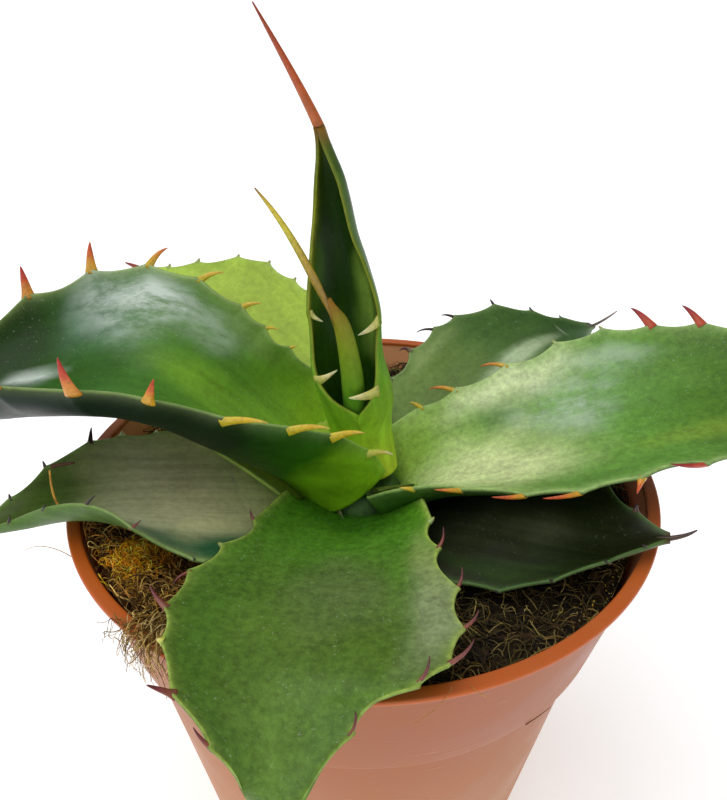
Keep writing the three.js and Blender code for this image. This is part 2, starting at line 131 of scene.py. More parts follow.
def line(values, s):
    """Straight steps through evenly spaced rows."""
    v = np.asarray(values, float)
    at = np.clip(np.asarray(s, float), 0, 1) * (len(v) - 1)
    i = np.minimum(at.astype(int), len(v) - 2)
    t = (at - i)[..., None]
    return v[i] * (1 - t) + v[i + 1] * t


def unit(v):
    return v / np.maximum(np.linalg.norm(v, axis=-1, keepdims=True), 1e-9)


def smooth(x, low, high):
    t = np.clip((x - low) / (high - low), 0, 1)
    return t * t * (3 - 2 * t)


def rough(x, y, z=0.0):
    """The source's repeatable unevenness, -1 to 1."""
    return (
        np.sin(x * 0.31 + y * 0.17 + z * 0.23)
        + np.sin(x * -0.13 + y * 0.37 + z * 0.29 + 1)
        + np.sin(x * 0.47 - y * 0.41 - z * 0.19 + 2)
    ) / 3


def lattice(ix, iy, seed):
    """A repeatable random value from 0 to 1 at each whole-numbered place."""
    n = (ix * 374761393 + iy * 668265263 + seed * 974634777) & 0xFFFFFFFF
    n = ((n ^ (n >> 13)) * 1274126177) & 0xFFFFFFFF
    return ((n ^ (n >> 16)) & 0xFFFF) / 65535.0


def cloud(x, y, seed=0, octaves=3):
    """Soft noise from -1 to 1 that changes over a distance of about 1."""
    total, size = np.zeros(np.broadcast(x, y).shape), 0.0
    for k in range(octaves):
        fx, fy = x * 2**k + 17.3 * k, y * 2**k - 9.1 * k
        ix, iy = np.floor(fx).astype(np.int64), np.floor(fy).astype(np.int64)
        tx, ty = fx - ix, fy - iy
        tx, ty = tx * tx * (3 - 2 * tx), ty * ty * (3 - 2 * ty)
        a, b = lattice(ix, iy, seed), lattice(ix + 1, iy, seed)
        c, d = lattice(ix, iy + 1, seed), lattice(ix + 1, iy + 1, seed)
        total += ((a * (1 - tx) + b * tx) * (1 - ty) + (c * (1 - tx) + d * tx) * ty - 0.5) * 2 / 2**k
        size += 1 / 2**k
    return total / size


def rgb(code):
    """Linear red, green and blue of a colour written as six hexadecimal digits."""
    parts = np.array([int(code[i : i + 2], 16) for i in (0, 2, 4)]) / 255
    return np.where(parts <= 0.04045, parts / 12.92, ((parts + 0.055) / 1.055) ** 2.4)


def palette(codes):
    return [rgb(code) for code in codes.split()]


def blend(a, b, amount):
    return a + (b - a) * np.asarray(amount)[..., None]


def table(text):
    """The rows of a table written as text: a comma ends a row, a space ends a word."""
    return [row.split() for row in text.split(",") if row]


# ---- Materials -----------------------------------------------------------------------------
class Look:
    """A material, or the world, whose nodes are added and joined by short calls."""

    def __init__(self, name, kind=bpy.data.materials, shader="Principled BSDF"):
        self.owner = kind.new(name)
        self.owner.use_nodes = True
        self.tree = self.owner.node_tree
        self.shader = self.tree.nodes[shader]

    def feed(self, socket, value):
        if isinstance(value, bpy.types.NodeSocket):
            self.tree.links.new(value, socket)
        else:
            socket.default_value = value

    def add(self, kind, inputs, output=0, **settings):
        """Adds a node, feeds its inputs by name or number, and gives back one of its outputs."""
        node = self.tree.nodes.new("ShaderNode" + kind)
        for key, value in settings.items():
            setattr(node, key, value)
        for key, value in inputs.items():
            self.feed(node.inputs[key], value)
        return node.outputs[output]

    def finish(self, **sockets):
        """Feeds the shader's sockets; an underscore in a name stands for a space."""
        for key, value in sockets.items():
            self.feed(self.shader.inputs[key.replace("_", " ")], value)
        return self.owner

    def attribute(self, name, output="Color"):
        return self.add("Attribute", {}, output, attribute_type="GEOMETRY", attribute_name=name)

    def place(self):
        return self.add("TexCoord", {}, "Object")

    def part(self, vector, axis):
        return self.add("SeparateXYZ", {"Vector": vector}, axis)

    def scaled(self, vector, scale):
        return self.add("Mapping", {"Vector": vector, "Scale": scale})

    def noise(self, vector, scale, detail, roughness):
        return self.add(
            "TexNoise", {"Vector": vector, "Scale": scale, "Detail": detail, "Roughness": roughness}
        )

    def cells(self, vector, scale):
        return self.add("TexVoronoi", {"Vector": vector, "Scale": scale})

    def range(self, value, low, high, to_low=0.0, to_high=1.0):
        return self.add(
            "MapRange",
            {"Value": value, "From Min": low, "From Max": high, "To Min": to_low, "To Max": to_high},
            interpolation_type="SMOOTHSTEP",
        )

    def math(self, operation, a, b=0.0, clamp=False):
        return self.add("Math", {0: a, 1: b}, operation=operation, use_clamp=clamp)

    def plus(self, a, *others):
        for other in others:
            a = self.math("ADD", a, other)
        return a

    def times(self, a, *others):
        for other in others:
            a = self.math("MULTIPLY", a, other)
        return a

    def mix(self, factor, a, b, mode="MIX"):
        """Colours a and b are sockets, or written as six hexadecimal digits."""
        a, b = ((*rgb(c), 1) if isinstance(c, str) else c for c in (a, b))
        return self.add("Mix", {0: factor, 6: a, 7: b}, 2, data_type="RGBA", blend_type=mode)

    def shaded(self, colour, shade):
        """The colour, brighter or darker by a grey factor."""
        grey = self.add("CombineColor", {name: shade for name in ("Red", "Green", "Blue")})
        return self.mix(1.0, colour, grey, "MULTIPLY")

    def bump(self, height, distance):
        return self.add("Bump", {"Height": height, "Distance": distance, "Strength": 1.0})


def skin_look(name, roughness, coat, speckle, streak, pebble):
    """Living leaf skin: the painted tint, lengthwise streaks, mottling, pale pores, wax bloom and painted
    sheen.
    """
    look = Look(name)
    place, flow = look.place(), look.attribute("flow", "Vector")
    streaks = look.noise(look.scaled(flow, (18, 420, 60)), 1, 4, 0.6)
    mottles = look.noise(place, 95, 4, 0.6)
    fine = look.noise(place, 900, 3, 0.65)
    pits = look.noise(place, 620, 4, 0.7)
    shade = look.plus(
        look.range(streaks, 0.25, 0.75, -streak, streak),
        look.range(mottles, 0.3, 0.7, -0.1, 0.1),
        look.range(fine, 0.3, 0.7, -0.5 * pebble, 0.5 * pebble),
        look.range(pits, 0.3, 0.7, -1.3 * pebble, 1.3 * pebble),
        1.0,
    )
    colour = look.shaded(look.attribute("tint"), shade)
    pores = look.range(look.noise(place, 1500, 2, 0.6), 0.62, 0.74)
    patches = look.range(look.noise(place, 140, 4, 0.6), 0.35, 0.7)
    above = look.math("SUBTRACT", 1.0, look.attribute("under", "Fac"))
    colour = look.mix(look.times(pores, patches, look.times(above, speckle)), colour, "d5dfc4")
    # The pale haze below is wax bloom on the bloomed leaf, and on the glossy leaf a painted sheen: a painted
    # reflection of the overhead light.
    wisps = look.noise(look.scaled(flow, (34, 70, 60)), 1, 7, 0.75)
    haze = look.math("MULTIPLY", look.attribute("bloom", "Fac"), look.range(wisps, 0.4, 0.6, 0.2, 1.0), True)
    dull = look.range(mottles, 0.3, 0.7, roughness - 0.05, roughness + 0.07)
    height = look.plus(look.times(fine, 0.6), look.times(streaks, 0.9), look.times(pits, 10 * pebble))
    return look.finish(
        Base_Color=look.mix(haze, colour, "dae6dc"),
        Roughness=look.plus(dull, look.times(haze, 0.3)),
        Normal=look.bump(height, 0.00006),
        Coat_Weight=look.times(above, coat),
        Coat_Roughness=0.25,
        Specular_IOR_Level=0.15,
        Subsurface_Weight=0.12,
        Subsurface_Radius=(0.0012, 0.0022, 0.0005),
        Subsurface_Scale=1.0,
    )


def horn_look():
    """Teeth and end spines: glossy horn, a little see-through where it is thin."""
    look = Look("horn")
    grain = look.noise(look.place(), 1100, 3, 0.6)
    return look.finish(
        Base_Color=look.shaded(look.attribute("tint"), look.range(grain, 0.35, 0.7, 1.0, 0.72)),
        Roughness=look.range(grain, 0.3, 0.7, 0.26, 0.42),
        Normal=look.bump(grain, 0.00003),
        Subsurface_Weight=0.25,
        Subsurface_Radius=(0.0016, 0.0007, 0.0003),
        Subsurface_Scale=1.0,
        Coat_Weight=0.15,
        Coat_Roughness=0.2,
    )


# ---- Meshes --------------------------------------------------------------------------------
def placed(name, data):
    """A new object in the scene."""
    thing = bpy.data.objects.new(name, data)
    bpy.context.scene.collection.objects.link(thing)
    return thing


def face_lists(faces):
    """Each face as a list of its corners. Caps are of triangles, whose one doubled corner is dropped."""
    return [list(dict.fromkeys(face)) for face in faces.tolist()]


class Body:
    """Gathers closed surfaces into one mesh, with the values that its materials read."""

    def __init__(self):
        self.points, self.faces, self.looks, self.values = [], [], [], {}
        self.count = 0

    def add(self, points, faces, look=0, **values):
        """Each value is given for every point, or once for all of them."""
        points = np.asarray(points, float).reshape(-1, 3)
        self.points.append(points)
        self.faces.append(np.asarray(faces, np.int64) + self.count)
        self.looks.append(np.full(len(faces), look, np.int32))
        for key, value in values.items():
            value = np.asarray(value, float)
            wide = (3,) if value.shape[-1:] == (3,) else ()
            self.values.setdefault(key, []).append(np.broadcast_to(value, (len(points), *wide)))
        self.count += len(points)

    def make(self, name, materials, slot, replaces=()):
        mesh = bpy.data.meshes.new(name)
        mesh.from_pydata((np.vstack(self.points) * MM).tolist(), [], face_lists(np.vstack(self.faces)))
        for key, parts in self.values.items():
            value = np.concatenate(parts)
            kind, field = ("FLOAT_VECTOR", "vector") if value.ndim == 2 else ("FLOAT", "value")
            if key == "tint":
                kind, field = "FLOAT_COLOR", "color"
                value = np.hstack([np.clip(value, 0, 1), np.ones((len(value), 1))])
            store = mesh.attributes.new(key, kind, "POINT")
            store.data.foreach_set(field, value.astype(np.float32).ravel())
        mesh.polygons.foreach_set("material_index", np.concatenate(self.looks))
        mesh.polygons.foreach_set("use_smooth", np.ones(len(mesh.polygons), bool))
        for material in materials:
            mesh.materials.append(material)
        mesh.update()
        piece = placed(name, mesh)
        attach(piece, "root")
        if replaces:
            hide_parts(*replaces)
        return piece


def begun(what):
    """The random numbers and the empty body that a scattered piece starts with."""
    return np.random.default_rng(SEEDS[what]), Body()


def turns(sides):
    """The angles of the corners of a ring."""
    return 2 * np.pi * np.arange(sides) / sides


def around(turn, radius, height):
    """Places round the pot's axis."""
    return np.stack(np.broadcast_arrays(radius * np.cos(turn), radius * np.sin(turn), height), -1)


def ring_faces(rows, columns):
    """Quads between rings of points."""
    k, i = np.meshgrid(np.arange(rows - 1) * columns, np.arange(columns), indexing="ij")
    j = (i + 1) % columns
    return np.stack([k + i, k + j, k + columns + j, k + columns + i], -1).reshape(-1, 4)


def fan(hub, a, b):
    """Triangles from a hub, as quads with a doubled corner."""
    return np.stack([np.full(len(a), hub), a, b, b], -1)


def closed_faces(rows, columns):
    """Quads between rings, and fans that close the first and last ring."""
    i = np.arange(1, columns - 1)
    return np.vstack([ring_faces(rows, columns), fan(0, i + 1, i), fan(0, i, i + 1) + (rows - 1) * columns])


def bezier(a, b, c, d, t):
    t = np.asarray(t, float)[:, None]
    return a * (1 - t) ** 3 + b * 3 * t * (1 - t) ** 2 + c * 3 * t * t * (1 - t) + d * t**3


def tube(path, radii, sides, across=(0.31, 0.52, 0.79), flat=1.0):
    """Points and faces of a closed tube, which is flat times as wide in the direction across."""
    path = np.asarray(path, float)
    along = unit(np.gradient(path, axis=0))
    first = unit(np.cross(along, np.cross(np.broadcast_to(across, along.shape), along)))
    other = np.cross(along, first)
    turn = turns(sides)[None, :, None]
    flat = np.broadcast_to(flat, len(path))[:, None, None]
    radii = np.asarray(radii, float)[:, None, None]
    rings = (
        path[:, None]
        + first[:, None] * radii * flat * np.cos(turn)
        + other[:, None] * radii * np.sin(turn)
    )
    return rings.reshape(-1, 3), closed_faces(len(path), sides)


# ---- Leaves --------------------------------------------------------------------------------
# Rows of the midrib are places outward, sideways and upward from the rim's centre. Rows of
# teeth on the left and right margin start with the place along the leaf, as a share of it. A
# tooth given its own place goes on with how far its point lies outward, towards the leaf's
# tip and upward from its foot, and with its tone. Colours run from base to tip. skin is the
# roughness, coat, speckle, streak and pebble of skin_look, rim is the margin's colour, how
# strong it is and how wide. Rows of patches give the place along and across, half the length,
# half the width, the amount and the colour, or a word for pale haze: wax bloom on the bloomed leaf, painted
# sheen (a painted reflection of the overhead light) on the glossy one.
LEAVES = {}
LEAVES["leaf_heart"] = dict(
    slot="leaf_young", azimuth=260, width=9.6, thick=1.2, tooth=0, turn=1, scallop=0, taper=0.6,
    midrib="2.6 -1 -2.6, 3 -1.7 12, 3.6 -2.7 27, 3.9 -4.3 37, 3.8 -7.4 45",
    shape="1 1 0.98 0.93 0.85 0.72 0.52 0.28", cup="160 155 150 145 140 135 130", roll="0 0",
    upper="9cbe3e 6ea62e 5a9226 7a8a26 8a6a24", lower="9cbe3e 6ea628 5e9a24 7f9426 8a6a24",
    rim=("2b4a14", 0.5, 0.8), skin=(0.42, 0.12, 0.1, 0.14, 0.06), tip=0.9,
    spine=(1.8, -13.3, 24), bow=0.6, spine_radius=0.95, spine_tones="8a6424 b89a34 d8cc3c d8c43c 8a6424",
)
LEAVES["leaf_spear"] = dict(
    slot="leaf_spear", azimuth=80, width=43.4, thick=2, tooth=5, turn=1, scallop=1, clasp=0.25, taper=0.35,
    midrib="8 1.2 -2.6, 9.2 2.8 12, 8 4 26, 8 4.4 40, 6.1 5.2 54, 2.9 6.3 68, -0.3 8.7 80",
    shape="0.94 0.9 0.87 0.92 1 0.8 0.61 0.54 0.505 0.456 0.4 0.345 0.289 0.244 0.196 0.12 0.053",
    cup="180 180 180 180 180 136 100 83 77 73 72 73 77 87 102 116 138", roll="0 0 1 5 11 23 38 54 70",
    left="0.335 1.1 2.6 4.6 cream, 0.495 -1.6 -2.2 3 cream",
    right="0.31 5.5 0.8 2.8 cream, 0.49 1.8 -2.3 4.6 cream",
    upper="7caa30 40701a 264a0c 183406 183206 223a0a",
    lower="d2e83c a2d034 74ac2c 4a8826 34641a 30541a 2f4a18",
    rim=("a2a83a", 0.85, 0.5), skin=(0.34, 0.05, 0.1, 0.22, 0.06), tip=0.94,
    tooth_tones="a08a50 e6dea8 efe8c0",
    spine=(0, 12.3, 21.5), bow=0.05, spine_radius=1.25, spine_tones="7a5a1c b8601c bc5418 ac481c 8a3818",
    patches="0.5 -0.45 0.24 0.5 0.85 86aa44, 0.55 0.8 0.2 0.3 0.5 4f7a22, 0.85 -0.9 0.12 0.25 0.7 8a5a2c",
)
LEAVES["leaf_left_upper"] = dict(
    slot="leaf_glossy", azimuth=176, width=66, thick=5, tooth=8, turn=0.63, scallop=3,
    midrib="9 0 -10, 17.2 -0.1 0.4, 29.3 0.7 10.1, 52.6 0.5 22.9, 83.7 -0.4 17.4, 117.5 1.2 11.5",
    shape="0.63 0.85 0.81 0.9 0.96 0.88 0.48 0.05", cup="104 80 75 65 68 70 85", roll="-28 -11 6 10 3 0 -4",
    left="0.07 3.4 -4.5 -1 pale, 0.145 4.4 -5 0 yellow, 0.2 4 -7 0.8 yellow, 0.3 4 -8 1.6 yellow,"
    "0.4 3.4 0.6 2.9 orange, 0.48 5.5 1.8 4.3 red, 0.59 5.5 1.5 3 red, 0.71 5 1 2 red,"
    "0.84 3.5 1.5 1.5 crimson",
    right="0.15 0.8 -0.8 0 yellow, 0.22 0.9 -1.5 0 yellow, 0.3 1.1 -3.3 0 yellow, 0.353 2.7 -3.9 -0.4 yellow,"
    "0.42 3 -5.3 -0.8 yellow, 0.48 3.8 -4.8 -1.1 amber, 0.576 6.4 -1.5 -0.3 orange, 0.722 7.1 0.2 0.1 red,"
    "0.86 5 1 0 red",
    upper="a2cc1c 84b432 588a2a 427626 2c5a14 24480c 2c5414",
    # The lower colours are partly the underside's own dark blue-green and partly painted shade, for the little
    # light that reaches under the leaf.
    lower="96d020 2c5e0c 10280c 0a2012 0c2218 0f2c20 16382c 2a5040",
    rim=("b4ca80", 0.7, 1.3), skin=(0.4, 0.06, 0.3, 0.1, 0.07), tooth_tones="e6c24a e0902c c8502a",
    spine=(21, 1, -3), spine_tones="c8722a a83c24 6a2018",
    # Painted sheen: the pale haze patches at 0.48, 0.47, 0.53, 0.4 and 0.7 along and the blue-grey 6a8c7a
    # patch are a painted reflection of the overhead light.
    patches="0.48 -0.74 0.12 0.32 1.2 bloom, 0.47 -0.75 0.05 0.16 1 bloom, 0.58 -0.6 0.12 0.5 0.5 6a8c7a,"
    "0.53 -0.72 0.13 0.5 0.8 bloom, 0.4 -0.72 0.12 0.3 0.45 bloom, 0.7 -0.16 0.1 0.12 0.9 bloom,"
    "0.33 -0.2 0.17 0.24 0.85 7cac30, 0.57 -0.12 0.14 0.3 0.7 2f5c14, 0.35 -0.55 0.12 0.2 0.6 4c7a26,"
    "0.76 -0.6 0.15 0.7 1 1c3c04, 0.463 -0.74 0.008 0.03 1 1c2a14, 0.3 -0.85 0.14 0.16 0.5 8fae62",
)
LEAVES["leaf_right_upper"] = dict(
    slot="leaf_bloomed", azimuth=2.5, width=55, thick=4, tooth=7.5, turn=0.9, scallop=2.2,
    midrib="7 0 -10, 20.1 -0.3 -1, 45 -0.6 6.7, 84 0 16.7, 125.9 -0.2 21.1",
    shape="0.62 0.72 0.92 1 0.94 0.8 0.42 0.05", cup="77 45 31 36 26 31 40", roll="6 -5 -8 -12 -15 -13",
    left="0.12 2.2 -2.4 0.3 yellow, 0.19 1.6 -6.9 0.2 amber, 0.305 0.9 -6.9 -0.1 amber,"
    "0.418 0.9 -0.7 0.1 leaf, 0.514 0.9 -0.7 0.1 leaf, 0.607 5.1 -3.9 0.3 crimson,"
    "0.695 4.9 -3.7 0.2 crimson,"
    "0.79 4.5 -3 0.3 crimson, 0.88 3.5 -2 0.3 crimson",
    right="0.087 1.4 -2.5 0.8 yellow, 0.158 1 -5.8 1.6 amber, 0.258 0.7 -7.2 1.6 orange,"
    "0.347 0.6 -8.4 1.2 orange, 0.446 0.9 -2.2 -2.6 orange, 0.561 0.8 -8 2.4 crimson, 0.68 3 -4 1 crimson,"
    "0.78 3 -3.4 1 crimson, 0.88 2.6 -2.6 1 crimson",
    upper="9cc04c 8cb24e 6f9c40 669a3c 547f26 4a7420 466f1e", lower="3c6a1c 16300e 1c3a14 24461c",
    rim=("b4cc86", 0.6, 1.6), skin=(0.46, 0.15, 0.45, 0.08, 0.13), tooth_tones="d2a83c c2402c 9a2430",
    spine=(20, 0, 4), spine_tones="a0522c 8a2a24 5a1c1c",
    # The pale dce8a8 patch on the near half, towards the base, is a painted highlight of the overhead light;
    # the patches marked for pale haze here are the leaf's own wax bloom.
    patches="0 0 0.06 2 0.9 3f7018, 0.2 -0.25 0.25 0.8 0.9 dce8a8, 0.25 0.5 0.08 0.35 0.6 4a7a36,"
    "0.3 0.8 0.24 0.4 0.9 d8e6b0, 0.4 0.35 0.16 0.5 0.5 bloom, 0.5 0.7 0.16 0.25 0.35 bloom,"
    "0.6 -0.4 0.16 0.2 0.6 86a436, 0.62 0.1 0.2 0.3 0.5 4a7820, 0.36 -0.75 0.2 0.22 0.6 4a7a26",
)
LEAVES["leaf_back_left"] = dict(
    slot="leaf_pale", azimuth=134, width=60, thick=3.4, tooth=2.5, turn=0.8, scallop=2,
    midrib="8 0 -10, 30.1 1.4 5.9, 60.2 -0.1 18.4, 93.9 0.5 23.9",
    shape="0.62 0.74 0.9 1 0.84 0.73 0.4 0.04", cup="50 35 21 30 35", roll="10 13 15 10",
    left="0.3, 0.42, 0.54, 0.66, 0.77, 0.88",
    right=",".join(s + " 0.9 0.3 0.2 leaf" for s in "0.3 0.41 0.5 0.585 0.67 0.76 0.865 0.94".split()),
    upper="a4c240 aeca48 b0cc4a b4d254", lower="7aa440 86b046 98c050",
    rim=("b8d07a", 0.5, 0.8), skin=(0.5, 0.08, 0.15, 0.06, 0.07), tooth_tones="b4b060 b08040 9a5030",
    spine=(9, 2, 1), spine_tones="b0602c a83a28 7a2a20",
)
LEAVES["leaf_back_right"] = dict(
    slot="leaf_dark", azimuth=41, width=47, thick=3.2, tooth=3.2, turn=0.8, scallop=2,
    midrib="8 0 -10, 35 -0.6 1.6, 62.1 0.4 10.7, 90.8 -0.8 9.4",
    shape="0.62 0.74 0.9 1 0.92 0.71 0.35 0.04", cup="50 35 24 27 35", roll="-10 -14 -13 -6",
    left="0.25, 0.38, 0.507 2.4 -4.4 -1.2 dark, 0.583 2.7 -2.8 -0.8 dark, 0.697 1.9 -0.1 0.2 dark,"
    "0.805 0.9 -0.1 0.1 dark, 0.9 0.8 -0.4 0 dark",
    right="0.3, 0.42, 0.54, 0.66, 0.78, 0.89",
    upper="96b064 88a45a 6c883e 527434 365a22 305622", lower="4a7a3a 2c5a2c 24502a",
    rim=("9ab478", 0.5, 0.8), skin=(0.46, 0.15, 0.3, 0.1, 0.08), tooth_tones="8a7a5c 6a3a3c 4a2630",
    spine=(8, -3, 4), spine_radius=0.45, spine_tones="5a5a4c 6a5a54 8a7e74",
    patches="0.6 0 0.28 0.22 0.85 c4d8ac, 0.62 0.65 0.12 0.3 0.5 3c6428, 0.85 0.15 0.008 0.5 0.7 9aa88a,"
    "0.4 0.85 0.2 0.2 0.6 9ab070",
)
LEAVES["leaf_front"] = dict(
    slot="leaf_speckled", azimuth=259, width=55, thick=3, tooth=5.5, turn=1, scallop=2.4,
    midrib="8 0 -9, 30.1 0.5 -2, 54.9 0.7 3.6, 71.4 -0.7 3.6, 84.4 2.2 -1.5, 91.8 0.5 -13.6",
    shape="0.62 0.71 0.84 1 1.01 0.68 0.26 0.06", cup="60 29 14 6 19 35 49", roll="-5 6",
    left="0.153 0.9 -0.4 0.4 leaf, 0.253 1.2 -3 3.3 wine, 0.386 0.6 -3.5 3.1 wine, 0.49 2.1 -3.3 2.1 wine,"
    "0.579 3.3 -4.6 1.9 wine, 0.647 1.2 -5 1.8 wine, 0.785 0.6 -3.6 0.7 wine, 0.89 2 -2 0.5 wine",
    right="0.2 1.7 -1.4 1.5 wine, 0.32 0.7 -0.3 0.3 leaf, 0.43 1.3 3.6 -1.6 wine, 0.6 3.9 -2 1.6 wine,"
    "0.667 0.6 0.1 0 pale, 0.73 4 -0.5 -0.6 wine, 0.8 2.4 -3.1 -1 wine, 0.9 2 -2 0 wine",
    upper="4a8414 4f8222 587c2c 587828 567a2c 6a8a38", lower="4a7a2c 3c6a26 3f6a26 5a8a2e",
    rim=("a8bc58", 0.8, 0.7), skin=(0.48, 0.08, 0.3, 0.06, 0.17), tooth_tones="a07040 86303a 5a1a28",
    spine=(9, 0, -12), spine_tones="7a3a20 6a2420 44181c",
    patches="0.45 0.85 0.22 0.3 0.75 9aa67a, 0.28 0.85 0.16 0.25 0.6 8c9c5a, 0.42 0.1 0.22 0.55 0.5 66704a,"
    "0.05 0 0.12 1 0.7 2f6410, 0.78 0 0.16 0.8 0.5 6e8c3e, 0.55 -0.7 0.3 0.3 0.6 447020",
)
LEAVES["leaf_left_lower"] = dict(
    slot="leaf_old_grey", azimuth=197, width=50, thick=3, tooth=3.5, turn=0.72, scallop=1.5,
    midrib="10 0 -10, 34.7 0.7 -1.9, 61.9 0.4 3.4, 87.9 1.8 1.9",
    shape="0.7 0.85 0.98 1.05 0.98 0.75 0.36 0.05", cup="46 20 15 54 58", roll="3 2 -3 -14 -8",
    left="0.45 0.5 -0.5 0.4 dark, 0.6 0.4 -2 1.4 wine, 0.7 1 -2.3 1.2 dark, 0.8 0.5 -0.8 0.4 dark,"
    "0.9 1 -1 0.6 dark",
    right="0.5 0.7 0 0.3 leaf, 0.6 0.8 0 0.3 leaf, 0.683 3.2 -0.7 0.7 dark, 0.8 1.7 0.3 0.2 dark,"
    "0.9 1 0 0.2 dark",
    # The first four upper colours are partly the grey old leaf's own tone and partly painted light, lightened
    # to stand in for light that the upper left leaf keeps off it.
    upper="d0d88a c4cc8c c4c492 b4ba86 566c2c 3c5218", lower="5a6c3c 4f6a34 4c7030",
    rim=("86a458", 0.75, 1), skin=(0.46, 0.15, 0.15, 0.16, 0.08), tooth_tones="6a4a34 52282c 341a1e",
    spine=(12, 0, 1), spine_tones="5a4a34 4a3424 2a1c1a",
    patches="0.78 -0.4 0.12 0.6 0.7 3c5a18, 0.28 -0.3 0.01 0.25 0.6 b0b49a, 0.38 0.85 0.34 0.5 1 2a5c38",
)
LEAVES["leaf_right_lower"] = dict(
    slot="leaf_old_dark", azimuth=334, width=46, thick=3, tooth=2.5, turn=0.8, scallop=1.2,
    midrib="10 0 -10, 34.4 -2.8 -0.9, 58 -3.3 2.1, 71.4 -1.8 5.1",
    shape="0.8 0.95 0.99 1.03 0.97 0.75 0.41 0.04", cup="45 27 12 22 34", roll="3 -10 -3",
    left="0.4, 0.52, 0.64, 0.76, 0.89",
    right=",".join(s + " 0.5 -0.8 0.7 dark" for s in "0.42 0.553 0.697 0.831 0.93".split()),
    # The near-black upper colours are partly the old leaf's own dark tone and partly painted shade, kept dark
    # for the shade it lies in.
    upper="10180a 182010 242816 1e2810 182008 1c1c0c", lower="5c6a4c 56664a 4f6244 4a5a34",
    rim=("6f9a4c", 0.45, 0.7), skin=(0.4, 0.2, 0.1, 0.22, 0.07), tooth_tones="5a4434 42282c 2a181e",
    spine=(4.5, 2.2, 2.6), spine_radius=0.6, spine_tones="4a3a24 4a2e22 2a1a1a",
    patches="0.6 -0.05 0.18 0.4 0.7 3a3e28, 0.5 -0.75 0.3 0.22 0.7 27400f",
)

# A tooth's colours from its foot to its point.
TONES = {
    "leaf": "a8c070 a8b868 a09850",
    "cream": "c8c860 e4dc90 efe6b0",
    "pale": "c8cc50 dcd060 e0d49a",
    "yellow": "d8c02c e8c030 e8c854",
    "amber": "dcb428 e8982a dc702a",
    "orange": "e0a828 dc6c20 c4481c",
    "red": "e09424 d0481c b0281c",
    "crimson": "c8502c b02c28 86181f",
    "wine": "8a4a34 7a3234 54181e",
    "dark": "3c2c28 32202a 24141c",
}


class Leaf:
    """A channelled blade along a curved midrib, as in the source, for whole arrays of places."""

    def __init__(self, spec):
        self.spec = spec
        self.clasp = spec.get("clasp", -0.02)  # up to here the margins meet and close a tube
        self.teeth = {1: table(spec.get("left", "")), -1: table(spec.get("right", ""))}
        self.shape, self.cup, self.roll = (
            np.array(spec[key].split(), float) for key in ("shape", "cup", "roll")
        )
        turn = math.radians(spec["azimuth"])
        self.outward = np.array([math.cos(turn), math.sin(turn), 0])
        self.sideways = np.array([-math.sin(turn), math.cos(turn), 0])
        midrib = [self.place(*map(float, row)) for row in table(spec["midrib"])]
        self.path = ease(midrib, np.linspace(0, 1, PATH_STEPS))
        steps = np.linalg.norm(np.diff(self.path, axis=0), axis=1)
        self.lengths = np.concatenate([[0], np.cumsum(steps)])
        self.length = self.lengths[-1]

    def place(self, out, side, up):
        return self.outward * out + self.sideways * side + UP * (POT_HEIGHT + up)

    def midrib(self, s):
        at = np.clip(s, 0, 1) * self.length
        return np.stack([np.interp(at, self.lengths, self.path[:, k]) for k in range(3)], -1)

    def frame(self, s):
        """The midrib, and the directions along it, up from it and to its left."""
        s = np.asarray(s, float)
        step = 0.004
        along = unit(self.midrib(s + step) - self.midrib(s - step))
        lean = UP - 0.5 * self.outward
        normal = unit(lean - (along @ lean)[..., None] * along)
        left = np.cross(normal, along)
        roll = np.radians(ease(self.roll, s))[..., None]
        up = normal * np.cos(roll) + left * np.sin(roll)
        left = left * np.cos(roll) - normal * np.sin(roll)
        return self.midrib(s), along, up, left

    def half_width(self, s):
        taper = 1 - self.spec.get("taper", 0) * smooth(s, 0.88, 1)
        return ease(self.shape, s) * self.spec["width"] / 2 * taper

    def tooth_gap(self, s, side):
        """0 at a tooth and up to 1 half-way to the next, and 0 beyond the outermost teeth."""
        places = np.array([tooth[0] for tooth in self.teeth[side]], float)
        if len(places) < 2:
            return np.zeros(np.shape(s))
        i = np.clip(np.searchsorted(places, s) - 1, 0, len(places) - 2)
        apart = places[i + 1] - places[i]
        t = np.clip((s - places[i]) / apart, 0, 1)
        return np.minimum(1, 8 * apart) * np.sin(np.pi * t) ** 0.7

    def point(self, s, u, depth):
        """u runs from 1 at the left margin to -1 at the right, depth from 0 above to 1 below."""
        s, u, depth = np.broadcast_arrays(*(np.asarray(v, float) for v in (s, u, depth)))
        centre, _, up, left = self.frame(s)
        dip = np.where(u > 0, self.tooth_gap(s, 1), self.tooth_gap(s, -1))
        half = self.half_width(s) - self.spec["scallop"] * dip * np.abs(u) ** 4
        arc = np.radians(ease(self.cup, s))
        radius = half / arc
        edge = EDGE + (FINE_EDGE - EDGE) * s
        thick = edge + (self.spec["thick"] - EDGE) * (1 - 0.7 * s * s) * np.maximum(1 - u * u, 0)
        reach = radius + thick * depth
        return (
            centre
            + left * (reach * np.sin(arc * u))[..., None]
            + up * (radius - reach * np.cos(arc * u))[..., None]
        )


